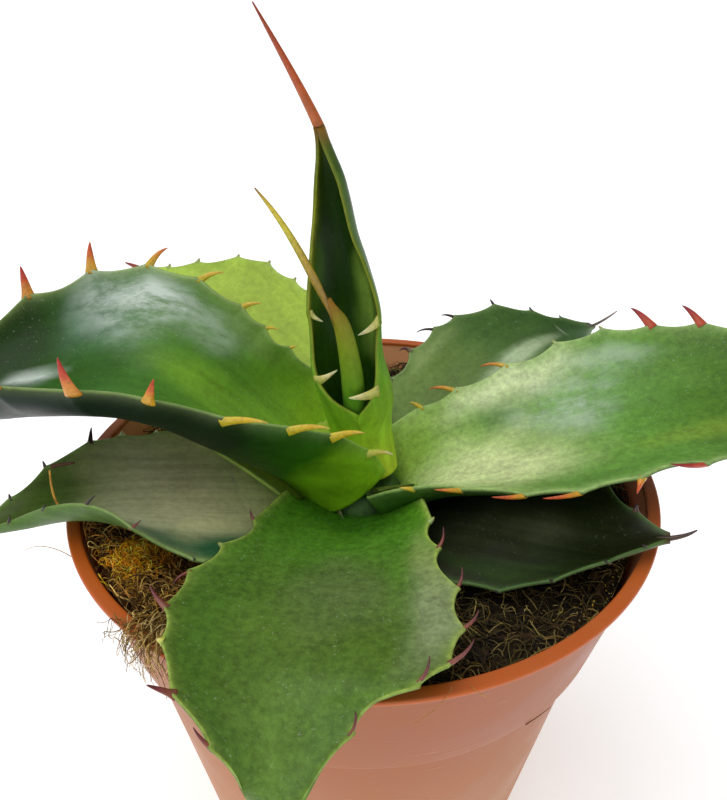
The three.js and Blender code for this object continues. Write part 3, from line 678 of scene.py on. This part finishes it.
def skin_tint(leaf, s, u, under, seed):
    """The painted colour of the blade at each place, and how much pale wax bloom and painted sheen lie there.
    """
    spec = leaf.spec
    across = u * leaf.half_width(s)
    along = s * leaf.length
    drifted = s + cloud(along / 14, across / 7, seed) * 0.06
    tint = blend(line(palette(spec["upper"]), drifted), line(palette(spec["lower"]), drifted), under)
    bloom = np.zeros(np.shape(s))
    wobble = cloud(along / 9, across / 9, seed + 5)
    for *numbers, colour in table(spec.get("patches", "")):
        at, side, long, wide, amount = map(float, numbers)
        gone = np.hypot((s - at) / long, (u - side) / wide) + 0.25 * wobble
        share = smooth(-gone, -1, -0.15) * amount * (1 - under)
        if colour == "bloom":
            bloom = np.maximum(bloom, share)
        else:
            tint = blend(tint, rgb(colour), share)
    margin = leaf.half_width(s) * (1 - np.abs(u))
    colour, amount, wide = spec["rim"]
    rim = np.exp(-np.maximum(margin, 0) / wide) * amount
    rim *= smooth(s, leaf.clasp, leaf.clasp + 0.02) * (1 - 0.8 * under)
    tint = blend(tint, rgb(colour), np.clip(rim, 0, 1))
    return blend(tint, palette(spec["spine_tones"])[0], smooth(s, spec.get("tip", 0.97), 1)), bloom


def leaf_blade(body, leaf, seed):
    """The blade's closed skin: upper face, rounded margin, lower face."""
    upper = np.sin(np.linspace(math.pi / 2, -math.pi / 2, STRIPS + 1))
    bead = np.array([1.0])
    u = np.concatenate([upper, -bead, upper[::-1], bead])
    depth = np.concatenate([upper * 0, bead * 0.5, upper * 0 + 1, bead * 0.5])
    edge = np.concatenate([upper * 0, bead, upper * 0, bead])
    s, u = np.meshgrid(np.linspace(0, 1, STATIONS), u, indexing="ij")
    under = np.broadcast_to(depth, s.shape)
    half = leaf.half_width(s)
    points = leaf.point(s, u * (1 + edge * 0.35 / np.maximum(half, 1)), under)
    across, along = u * half, s * leaf.length
    wave = cloud(along / 16, across / 11, seed + 9, 2) * 0.5 * smooth(s, 0.05, 0.3) * (1 - smooth(s, 0.85, 1))
    points = points + leaf.frame(s)[2] * wave[..., None]
    tint, bloom = skin_tint(leaf, s, u, under, seed)
    flow = np.stack([along, across, under * 40], -1) * MM
    body.add(
        points, closed_faces(*s.shape)[:, ::-1],
        tint=tint.reshape(-1, 3), bloom=bloom.ravel(), flow=flow.reshape(-1, 3), under=under.ravel(),
    )


def add_horn(body, path, radii, sides, tints, *shape):
    """A tube in the horn look, with a tint for each ring."""
    points, faces = tube(path, radii, sides, *shape)
    body.add(points, faces, 1, tint=np.repeat(tints, sides, axis=0), bloom=0, flow=np.zeros(3), under=0)


def leaf_tooth(body, leaf, tooth, side, random):
    """A flattened hook on a flared foot, leaning back near the base unless its own place is given."""
    s, *given = tooth
    s = float(s)
    along = leaf.frame(s)[1]
    root = leaf.point(s, side, 0.5)
    outward = unit(root - leaf.point(s, side * 0.9, 0.5))
    above = unit(leaf.point(s, side, 0) - leaf.point(s, side, 1))
    wobble = 0.85 + 0.25 * random.random()
    slim = False
    if given:
        out, ahead, lift = map(float, given[:3])
        slim, colours = given[3] in ("wine", "dark"), TONES[given[3]]
        reach = outward * out + along * ahead + above * lift
        middle = root + reach * 0.45 + outward * 0.14 * abs(ahead) + outward * 0.1 * out - above * 0.2 * lift
    else:
        back = np.clip(4 * (leaf.spec["turn"] - s), -0.4, HOOKED)
        length = leaf.spec["tooth"] * min(1, 0.55 + 1.1 * s, 1.5 - s) * wobble
        colours = leaf.spec["tooth_tones"]
        reach = unit(outward * 0.75 + above * (0.25 + 0.6 * s) - along * back) * length
        middle = root + outward * length * 0.45
    length = np.linalg.norm(reach)
    t = np.linspace(0, 1, 19)
    start, end = root - outward * min(TOOTH_ROOT, 0.5 + length * 0.12), root + reach
    path = bezier(start, start + (middle - start) * 0.67, end + (middle - end) * 0.67, end, t)
    thin = 0.08 + (0.42 if slim else 0.62) * (1 - t) ** 0.8
    lying = abs(reach @ along) / length
    stout = (0.5 + 0.17 * length) * (1 - 0.6 * lying**2)
    if slim:
        stout = (0.42 + 0.13 * length) * (1 - 0.7 * lying**2) * 0.7
    wide = 0.09 + stout * (1 - t) ** 0.85 + 0.35 * (1 - lying) * np.exp(-((t / 0.14) ** 2))
    tints = line(palette(colours), smooth(t, 0.12, 0.95))
    add_horn(body, path, thin, TOOTH_SIDES, tints, along, wide / thin)


def leaf_end_spine(body, leaf):
    spec = leaf.spec
    out, side, up = spec["spine"]
    tip = leaf.point(1, 0, 0.5)
    along = leaf.frame(0.97)[1]
    point = tip + leaf.outward * out + leaf.sideways * side + UP * up
    t = np.linspace(0, 1, 40)
    bow = along * math.sqrt(out * out + side * side + up * up) * spec.get("bow", 0.3)
    path = bezier(tip - along * SPINE_ROOT, tip + bow, tip + (point - tip) * 0.6 + bow * 0.35, point, t)
    radii = 0.14 + spec.get("spine_radius", 1.15) * (1 - t) ** 0.85 * (0.35 + 0.65 * smooth(t, 0, 0.22))
    add_horn(body, path, radii, SPINE_SIDES, line(palette(spec["spine_tones"]), t))


def tucked(body, above):
    """Presses a leaf's skin below each leaf above it, where it would come through."""
    for points in body.points:
        near = smooth(np.hypot(points[:, 0], points[:, 1]), 13, 19)
        for tree in above:
            for k in np.flatnonzero(near):
                x, y, z = points[k]
                hit = tree.ray_cast(Vector((x, y, 60)), Vector((0, 0, 1)))[0]
                if hit is not None and -TUCK_DEPTH < hit.z - TUCK_GAP - z < 0:
                    points[k, 2] += (hit.z - TUCK_GAP - z) * near[k]


horn, laid = horn_look(), []
for seed, (name, spec) in enumerate(LEAVES.items()):
    leaf, body = Leaf(spec), Body()
    random = np.random.default_rng(SEEDS["leaves"] + seed)
    leaf_blade(body, leaf, seed * 31)
    for side in (1, -1):
        for tooth in leaf.teeth[side]:
            leaf_tooth(body, leaf, tooth, side, random)
    leaf_end_spine(body, leaf)
    tucked(body, laid)
    if name not in ("leaf_heart", "leaf_spear"):
        laid.append(BVHTree.FromPolygons(body.points[0].tolist(), face_lists(body.faces[0])))
    body.make("agave_" + name, [skin_look(name + "_skin", *spec["skin"]), horn], spec["slot"], [name])


# ---- Pot -----------------------------------------------------------------------------------
def wall_radius(z):
    heights = (0, SHOULDER_HEIGHT, SHOULDER_HEIGHT + 0.01, POT_HEIGHT)
    radii = (BASE_RADIUS, SHOULDER_RADIUS, SHOULDER_RADIUS + SHOULDER_STEP, COLLAR_RADIUS)
    return float(np.interp(z, heights, radii))


def rounded(corners, radius, steps):
    """The profile with each corner turned in a small arc."""
    corners = [np.array(c, float) for c in corners]
    out = [corners[0]]
    for before, corner, after in zip(corners, corners[1:], corners[2:]):
        a, b = before - corner, after - corner
        reach = min(radius, np.linalg.norm(a) * 0.45, np.linalg.norm(b) * 0.45)
        a, b = corner + unit(a) * reach, corner + unit(b) * reach
        for t in np.linspace(0, 1, steps):
            out.append(a * (1 - t) ** 2 + corner * 2 * t * (1 - t) + b * t * t)
    out.append(corners[-1])
    return np.array(out)


def densified(profile, step):
    """The profile with no stretch longer than step."""
    out = [profile[0]]
    for a, b in zip(profile, profile[1:]):
        count = max(1, int(math.ceil(np.linalg.norm(b - a) / step)))
        out += [a + (b - a) * k / count for k in range(1, count + 1)]
    return np.array(out)


def lathe(profile, sides):
    """Closed surface of a profile of (radius, height) that starts and ends on the axis."""
    inner = profile[1:-1]
    rings = around(turns(sides), inner[:, :1], inner[:, 1:])
    points = np.vstack([rings.reshape(-1, 3), [[0, 0, profile[0][1]], [0, 0, profile[-1][1]]]])
    i = np.arange(sides)
    j = (i + 1) % sides
    hub, end = len(points) - 2, (len(inner) - 1) * sides
    return points, np.vstack([ring_faces(len(inner), sides), fan(hub, j, i), fan(hub + 1, end + i, end + j)])


def pot_look():
    """Satin clay-coloured plastic: paler towards the base, scuffed, dusty, with fine scratches, and a painted
    highlight on the inner face of the collar.
    """
    look = Look("pot_plastic")
    place = look.place()
    x, y, z = (look.part(place, axis) for axis in "XYZ")
    colour = look.mix(look.range(z, 0.02, 0.116), "b67440", "9c5026")
    colour = look.mix(look.range(z, 0.1158, 0.1166), colour, "c05c1c")
    # Painted highlight: the inner face of the collar above the soil is painted pale peach f8b080 for the light
    # that falls on it.
    radius = look.math("SQRT", look.plus(look.times(x, x), look.times(y, y)))
    flare = look.math("SUBTRACT", radius, look.times(z, BAND_SLOPE))
    band = look.times(look.range(z, 0.102, 0.104), look.range(z, 0.1172, 0.1165))
    colour = look.mix(look.times(look.range(flare, 0.0405, 0.04), band), colour, "f8b080")
    clouds = look.noise(place, 38, 5, 0.6)
    colour = look.mix(look.range(clouds, 0.35, 0.75, 0.0, 0.25), colour, "bc8050")
    scuffs = look.noise(look.scaled(place, (60, 60, 900)), 1, 3, 0.6)
    scratch = look.range(scuffs, 0.66, 0.72, 0.0, 0.28)
    colour = look.mix(scratch, colour, "e0b8a0")
    specks = look.range(look.cells(place, 420), 0.0, 0.11, 1.0, 0.0)
    rare = look.range(look.noise(place, 130, 2, 0.5), 0.56, 0.62)
    satin = look.range(clouds, 0.3, 0.7, 0.36, 0.52)
    relief = look.plus(look.noise(place, 700, 3, 0.6), look.times(scuffs, 0.8))
    return look.finish(
        Base_Color=look.mix(look.times(specks, look.times(rare, 0.7)), colour, "4a2a1c"),
        Roughness=look.plus(satin, look.times(scratch, 0.3)),
        Normal=look.bump(relief, 0.00004),
        Subsurface_Weight=0.06,
        Subsurface_Radius=(0.002, 0.0008, 0.0005),
        Subsurface_Scale=1.0,
        Specular_IOR_Level=0.3,
        Coat_Weight=0.12,
        Coat_Roughness=0.4,
    )


def build_pot():
    lip, below, above = POT_HEIGHT - LIP_HEIGHT, SHOULDER_HEIGHT - 1, SHOULDER_HEIGHT + 1
    profile = rounded(
        [
            [0, 0.9], [30, 0.9], [31, 0], [BASE_RADIUS - 0.6, 0], [wall_radius(0.8), 0.8],
            [wall_radius(below), below], [wall_radius(above), above], [wall_radius(lip), lip],
            [RIM_RADIUS, lip + 0.3], [RIM_RADIUS, POT_HEIGHT - 0.1], [MOUTH_RADIUS, POT_HEIGHT],
            [MOUTH_RADIUS, lip], [wall_radius(above) - WALL, above], [wall_radius(below) - WALL, below],
            [wall_radius(FLOOR) - WALL, FLOOR], [0, FLOOR],
        ],
        0.7, 5,
    )
    body = Body()
    body.add(*lathe(densified(profile, 3), POT_SIDES))
    pot = body.make("pot_shell", [pot_look()], "pot_plastic", ["pot"])
    drill = np.array([[0, -FLOOR], [DRAIN_RADIUS, -FLOOR], [DRAIN_RADIUS, FLOOR * 2], [0, FLOOR * 2]], float)
    points, faces = lathe(drill, 32)
    for turn in turns(DRAIN_HOLES) + math.pi / DRAIN_HOLES:
        mesh = bpy.data.meshes.new("drill")
        mesh.from_pydata(((points + around(turn, DRAIN_CIRCLE, 0)) * MM).tolist(), [], face_lists(faces))
        cutter = placed("drill", mesh)
        cut = pot.modifiers.new("hole", "BOOLEAN")
        cut.operation, cut.object = "DIFFERENCE", cutter
        bpy.context.view_layer.update()
        drilled = bpy.data.meshes.new_from_object(pot.evaluated_get(bpy.context.evaluated_depsgraph_get()))
        pot.modifiers.clear()
        pot.data = drilled
        bpy.data.objects.remove(cutter)
    pot.data.polygons.foreach_set("use_smooth", np.ones(len(pot.data.polygons), bool))
    pot.data.update()


build_pot()


# ---- Soil ----------------------------------------------------------------------------------
def soil_height(x, y):
    """The ground with its crumbs and hollows, pressed down round the leaves' feet."""
    r = np.hypot(x, y)
    ground = SOIL_TOP + rough(x * 1.3, y * 1.3) * np.minimum(1, r / 25) + 1.2 * (1 - r / 66)
    crumbs = 0.9 * cloud(x / 4.2, y / 4.2, 40, 4) + 0.35 * np.abs(cloud(x / 1.3, y / 1.3, 41, 2))
    bank = smooth(r, 46, 61) * (0.8 + 4.6 * smooth(-x, 15, 45) * smooth(-y, -20, 10))
    return ground + crumbs + bank - 5 * (1 - smooth(r, 18, 32))


def soil_look():
    look = Look("peat")
    place = look.place()
    lumps = look.noise(place, 260, 6, 0.7)
    colour = look.mix(look.range(lumps, 0.35, 0.7), "0c0a06", "3c2f1a")
    colour = look.mix(look.range(look.noise(place, 900, 3, 0.7), 0.6, 0.72, 0, 0.6), colour, "7a5c38")
    left = look.range(look.part(place, "X"), -0.022, -0.05)
    colour = look.mix(look.times(left, look.range(lumps, 0.35, 0.62, 0.1, 0.85)), colour, "7c5428")
    height = look.plus(lumps, look.times(look.cells(place, 520), 0.6))
    return look.finish(
        Base_Color=colour, Roughness=0.95, Normal=look.bump(height, 0.0008), Specular_IOR_Level=0.2
    )


def tinted_look(name, roughness, dark, bump):
    """Dry plant matter: each strand or chip keeps its own tint, with darker stains."""
    look = Look(name)
    stain = look.noise(look.place(), 600, 4, 0.65)
    colour = look.mix(look.range(stain, 0.4, 0.72, 0.0, 0.6), look.attribute("tint"), dark)
    return look.finish(
        Base_Color=colour, Roughness=roughness, Normal=look.bump(stain, bump), Specular_IOR_Level=0.3
    )


def build_soil():
    """The whole plug of soil, with a fine crumbled top."""
    corner = SOIL_TOP - 3
    outer = wall_radius(corner) - WALL - GAP
    r = outer * np.sqrt(np.linspace(0.0001, 1, SOIL_RINGS))
    turn = turns(SOIL_SIDES)
    x, y = r[:, None] * np.cos(turn), r[:, None] * np.sin(turn)
    rings = [*np.stack([x, y, soil_height(x, y)], -1)]
    for z in (corner, SHOULDER_HEIGHT + 1, SHOULDER_HEIGHT - 1, FLOOR + GAP):
        rings.append(around(turn, wall_radius(z) - WALL - GAP, z))
    body = Body()
    body.add(rings, closed_faces(len(rings), SOIL_SIDES)[:, ::-1])
    body.make("soil_plug", [soil_look()], "soil", ["soil"])


def strand(random, start, heading, length, curl, arch, stay):
    """A thread's path over the ground: it wanders, and arches up by arch at its middle."""
    steps = 7 + int(length / 2.5)
    bend = random.normal(0, curl)
    turn = heading + np.cumsum(bend + random.normal(0, curl * 0.8, steps)) * length / steps
    step = length / steps
    x = start[0] + np.concatenate([[0], np.cumsum(np.cos(turn) * step)])
    y = start[1] + np.concatenate([[0], np.cumsum(np.sin(turn) * step)])
    inside = np.minimum(1, stay / np.maximum(np.hypot(x, y), 1e-6))
    x, y = x * inside, y * inside
    t = np.linspace(0, 1, steps + 1)
    return np.stack([x, y, soil_height(x, y) + 0.1 + arch * np.sin(math.pi * t) ** 1.2], -1)


def thread(body, path, width, tint, taper=0.6, sides=5):
    """A tapering thread in one tint along a path."""
    points, faces = tube(path, width * (1 - taper * np.linspace(0, 1, len(path))), sides)
    body.add(points, faces, tint=tint)


def build_fibres():
    """The tangle of fine roots and coir on the soil, browner on the left."""
    random, body = begun("fibres")
    right_tints = palette("7c6c3a 5c4c28 a08c50 443a20 6c6834 302a18 ccb468 84682f 4c4022")
    left_tints = palette("c08838 8a6028 e0a850 5c4018 a87c30 f0c468 4a3414")
    for k in range(FIBRES + FIBRES // 3):
        thick = k >= FIBRES
        r, turn = scattered(random, FIBRE_REACH, 0.4 if thick else 0.12)
        turn = math.pi + turn / 6 if thick else turn
        x, y = r * math.cos(turn), r * math.sin(turn)
        if thick and math.hypot(x - MOSS["x"], y - MOSS["y"]) < MOSS["radius"]:
            continue
        long = k % 13 == 0
        heading = random.random() * 2 * math.pi
        length = random.uniform(12, 30) if long else random.uniform(2.5, 9)
        curl = random.uniform(0.05, 0.2) if long else random.uniform(0.15, 0.5)
        arch = random.uniform(0.1, 3.2 if thick else 2.4)
        path = strand(random, (x, y), heading, length, curl, arch, FIBRE_REACH + (1.8 if thick else 0.2))
        left = x < -15 + random.normal(0, 8)
        # On the left the tints may be raised up to 1.5 times, partly as painted light where the lower left
        # leaf shades the soil.
        tints, brightest = (left_tints, 1.5) if left else (right_tints, 1.1)
        tint = tints[random.integers(len(tints))] * random.uniform(0.4, brightest)
        thread(body, path, random.uniform(0.08, 0.2), tint, sides=4)
    body.make("soil_fibres", [tinted_look("root_fibre", 0.8, "2a1c10", 0.00004)], "soil")


def round_rim(turn, radius, height):
    """A place at turn degrees round the pot."""
    return around(math.radians(turn), radius, height)


def build_tuft():
    """Roots that hang out over the rim on the left, and hairs and a straw that lie about."""
    random, body = begun("tuft")
    t = np.linspace(0, 1, 22)
    tints = palette("c09848 8a6a30 dcbc70 6a4a20 a8843c e8cc8c")
    for _ in range(TUFT_ROOTS):
        turn = random.normal(TUFT_TURN, 2.6)
        drift = turn + random.normal(0, 3)
        fall = random.uniform(0, 7.5)
        path = bezier(
            round_rim(turn + random.normal(0, 2), random.uniform(56, 63), SOIL_TOP + random.uniform(0, 4)),
            round_rim(turn, 66, POT_HEIGHT + random.uniform(2, 7)),
            round_rim(drift, RIM_RADIUS + random.uniform(1, 4), POT_HEIGHT + random.uniform(0, 3)),
            round_rim(drift + random.normal(0, 3), RIM_RADIUS + random.uniform(0.4, 3), POT_HEIGHT - fall),
            t,
        )
        phase, size = random.random(3) * 6, random.uniform(0.3, 1.5)
        waves = np.stack([np.sin(t * (9 + 4 * k) + phase[k]) for k in range(3)], -1)
        path = path + waves * size * np.sin(math.pi * t)[:, None] ** 0.5
        r = np.hypot(path[:, 0], path[:, 1])
        over = (r > MOUTH_RADIUS - 0.4) & (r < RIM_RADIUS + 0.5)
        path[over, 2] = np.maximum(path[over, 2], POT_HEIGHT + 0.15)
        low = (path[:, 2] < POT_HEIGHT + 0.15) & (r >= RIM_RADIUS)
        path[low, :2] *= np.maximum(1, (RIM_RADIUS + 0.3) / r[low])[:, None]
        width = random.uniform(0.07, 0.17)
        thread(body, path, width, tints[random.integers(len(tints))] * random.uniform(0.7, 1.2))
    hairs = table(
        "12 -62 112 17.5 -65 121 16 -69.5 118.6 8.4 -70.3 113.2,"
        "20 -61 112 17 -66 120 19.5 -68.4 118.7 22 -68.2 117.2,"
        "-63 -20 113 -66 -19 120 -70.4 -17 119.4 -72 -13 118,"
        "-61 -30 113 -65 -30 119 -70.4 -30 119 -72 -31 117.6"
    )
    for hair in np.array(hairs, float).reshape(-1, 4, 3):
        thread(body, bezier(*hair, t), 0.11, rgb("c89a4c"))
    ledge = SHOULDER_RADIUS + SHOULDER_STEP + 0.35
    root = [
        round_rim(turn, ledge, SHOULDER_HEIGHT + 1.1 - 0.05 * k)
        for k, turn in enumerate(np.linspace(-56, -48.5, 12))
    ]
    thread(body, root, 0.13, rgb("6a3a1c"))
    foot = Leaf(LEAVES["leaf_left_lower"]).point(0.755, 0.55, 0)
    straw = bezier(foot - [0, 0, 0.6], foot + [-2.6, 1, 2], foot + [-3, 3, 5], foot + [-3.2, 4.5, 7.8], t)
    thread(body, straw, 0.3, rgb("d29c40"), 0.3, 8)
    cap = foot + np.array([-2.9, 5, 8.4]) + np.linspace(0, 1, 9)[:, None] * np.array([4.8, 0.6, 0.6])
    thread(body, cap, 0.5, rgb("4a2e1a"), 0.5, 8)
    body.make("root_tuft", [tinted_look("dry_root", 0.75, "3a2614", 0.00004)], "soil")


def scattered(random, reach, nearest):
    """A random radius and turn on the ground, beyond a share of its area."""
    return reach * math.sqrt(random.uniform(nearest, 1)), random.random() * 2 * math.pi


def chip_points(random, size, flat):
    """An irregular lump: a rough ball of 28 corners, flattened by flat."""
    rows, columns = 4, 7
    tilt = np.linspace(0.12, math.pi - 0.12, rows)[:, None]
    ball = around(turns(columns), np.sin(tilt), np.cos(tilt))
    ball = ball * random.uniform(0.65, 1.2, (rows, columns, 1)) * np.array([1, random.uniform(0.5, 1), flat])
    yaw, pitch = random.random() * 2 * math.pi, random.normal(0, 0.5)
    cy, sy, cp, sp = math.cos(yaw), math.sin(yaw), math.cos(pitch), math.sin(pitch)
    spun = np.array([[cy, -sy, 0], [sy, cy, 0], [0, 0, 1]])
    pitched = np.array([[cp, 0, sp], [0, 1, 0], [-sp, 0, cp]])
    return ball.reshape(-1, 3) @ (spun @ pitched).T * size, closed_faces(rows, columns)[:, ::-1]


def build_crumbs():
    random, body = begun("crumbs")
    tints = palette("1c140d 2a1e13 3c2a1a 5a4028 120d09 6e5434")
    for _ in range(CRUMBS):
        r, turn = scattered(random, CRUMB_REACH, 0.12)
        x, y = r * math.cos(turn), r * math.sin(turn)
        size = 0.3 + random.exponential(0.45)
        points, faces = chip_points(random, min(size, 2.2), random.uniform(0.3, 0.9))
        tint = tints[random.integers(len(tints))] * random.uniform(0.7, 1.2)
        body.add(points + [x, y, soil_height(x, y) + size * 0.15], faces, tint=tint)
    body.make("soil_crumbs", [tinted_look("bark_crumb", 0.9, "0c0906", 0.0002)], "soil")


def build_grit():
    """Pale grains among the fibres by the rim on the right."""
    random, body = begun("grit")
    tints = palette("dcd0a0 d8b83c b8a870 a88420")
    for _ in range(GRAINS):
        turn, r = math.radians(random.normal(-38, 8)), FIBRE_REACH - random.exponential(2)
        x, y = r * math.cos(turn), r * math.sin(turn)
        points, faces = chip_points(random, random.uniform(0.1, 0.3), 0.7)
        place = [x, y, soil_height(x, y) + random.uniform(0.1, 1.4)]
        body.add(points + place, faces, tint=tints[random.integers(len(tints))])
    body.make("soil_grit", [tinted_look("grit", 0.7, "6a5a34", 0.00005)], "soil")


build_soil()
build_fibres()
build_tuft()
build_crumbs()
build_grit()


# ---- Stem ----------------------------------------------------------------------------------
def stem_look():
    look = Look("stem_skin")
    fibres = look.noise(look.scaled(look.place(), (300, 300, 40)), 1, 4, 0.6)
    colour = look.mix(look.range(fibres, 0.3, 0.7), "1c3a10", "3f6a1e")
    return look.finish(Base_Color=colour, Roughness=0.6, Normal=look.bump(fibres, 0.0002))


def build_stem():
    profile = rounded(
        [
            [0, STEM_BOTTOM], [STEM_RADIUS, STEM_BOTTOM], [STEM_RADIUS, STEM_TOP - 5],
            [STEM_RADIUS - 2.5, STEM_TOP - 1], [0, STEM_TOP],
        ],
        1.2, 4,
    )
    body = Body()
    body.add(*lathe(densified(profile, 3), 64))
    body.make("stem_core", [stem_look()], "stem", ["stem"])


build_stem()


# ---- Moss clump ----------------------------------------------------------------------------
def build_moss():
    """A lumpy cushion, with curled threads on it and strewn in front of it."""
    random, body = begun("moss")
    rows, columns = MOSS_GRID
    tilt = np.linspace(0.02, math.pi - 0.02, rows)[:, None]
    x, y, z = np.moveaxis(around(turns(columns), np.sin(tilt), np.cos(tilt)), -1, 0)
    swell = 1 + 0.16 * rough(x * 9, y * 9, z * 9)
    tuft = 1 + 0.12 * cloud(x * 6, y * 6 + z * 5, 3, 3)
    lift = np.where(z > 0, z * swell * MOSS["height"] * tuft, z * 2)
    east = x * swell * tuft * MOSS["radius"] * 0.95 + MOSS["x"]
    north = y * swell * tuft * MOSS["radius"] * 0.72 + MOSS["y"]
    points = np.stack([east, north, SOIL_TOP + 0.8 + lift], -1)
    body.add(points, closed_faces(rows, columns)[:, ::-1], tint=rgb("8c5c18"))
    tints = palette("f09c14 d8840c a88a2c f8c44c b8700c e8a41c")
    for _ in range(MOSS_THREADS):
        a, b = random.normal(3.9, 1.5), math.sqrt(random.random())
        k = int(b * 0.5 * rows)
        base = points[min(k, rows // 2), int(a / (2 * math.pi) * columns) % columns]
        stray = random.random() < 0.28
        if stray:
            x, y = MOSS["x"] - 0.8 + random.normal(0, 2.1), MOSS["y"] - 4.6 + random.normal(0, 3)
            base = np.array([x, y, soil_height(x, y) + 0.9])
        heading = random.random() * 2 * math.pi
        reach, rise, t = random.uniform(0.8, 2.6), random.uniform(0.5, 2.6), np.linspace(0, 1, 7)
        bend = heading + random.uniform(-2.2, 2.2) * t
        curl = [np.cos(bend) * reach * t, np.sin(bend) * reach * t, rise * np.sin(2.4 * t) - 0.2]
        path = base + np.stack(curl, -1)
        edge = smooth(np.hypot((base[0] - MOSS["x"]) / 8, (base[1] - MOSS["y"]) / 6), 0.45, 0.95)
        # The tints are raised 1.1 to 2 times, partly as painted light for the moss that lies in the lower left
        # leaf's shade.
        tint = tints[random.integers(len(tints))] * random.uniform(1.1, 2)
        tint = blend(tint, rgb("7c4c20"), 0 if stray else 0.8 * edge)
        thread(body, path, random.uniform(0.1, 0.2), tint, sides=4)
    body.make("moss_cushion", [tinted_look("moss", 0.9, "a8741c", 0.0002)], "moss", ["moss_clump"])


build_moss()


# ---- Room ----------------------------------------------------------------------------------
def build_floor():
    mesh = bpy.data.meshes.new("floor")
    corners = [(x * FLOOR_HALF, y * FLOOR_HALF, 0) for x, y in ((-1, -1), (1, -1), (1, 1), (-1, 1))]
    mesh.from_pydata(corners, [], [(0, 1, 2, 3)])
    look = Look("pale_floor")
    colour = look.mix(look.range(look.noise(look.place(), 30, 3, 0.5), 0.3, 0.7), "fafafa", "fdfdfd")
    mesh.materials.append(
        look.finish(
            Base_Color=colour, Roughness=0.9, Specular_IOR_Level=0.1,
            Emission_Color=(1, 1, 1, 1), Emission_Strength=FLOOR_GLOW,
        )
    )
    placed("floor", mesh)


def soft_sun(name, towards, strength, spread):
    """Even light from a round window spread degrees wide, in the direction towards it."""
    data = bpy.data.lights.new(name, "SUN")
    data.energy, data.angle = strength, math.radians(spread)
    light = placed(name, data)
    light.location = Vector(towards)
    light.rotation_euler = Vector(towards).to_track_quat("Z", "Y").to_euler()


def build_sky():
    """A white sky, brighter near the horizon."""
    sky = Look("studio", bpy.data.worlds, "Background")
    height = sky.part(sky.add("TexCoord", {}, "Generated"), "Z")
    glow = sky.range(height, 0.02, 0.3, SKY_HORIZON, SKY_TOP)
    bpy.context.scene.world = sky.finish(Color=(1, 1, 1, 1), Strength=glow)


def build_camera():
    camera = placed("camera", bpy.data.cameras.new("camera"))
    camera.data.sensor_width, camera.data.lens = 36, CAMERA_LENS
    camera.location = CAMERA_PLACE
    camera.rotation_euler = (math.radians(90 - CAMERA_DOWN), 0, 0)
    bpy.context.scene.camera = camera
    bpy.context.scene.view_settings.view_transform = "Standard"


build_floor()
build_sky()
for name, settings in SUNS.items():
    soft_sun(name, *settings)
build_camera()
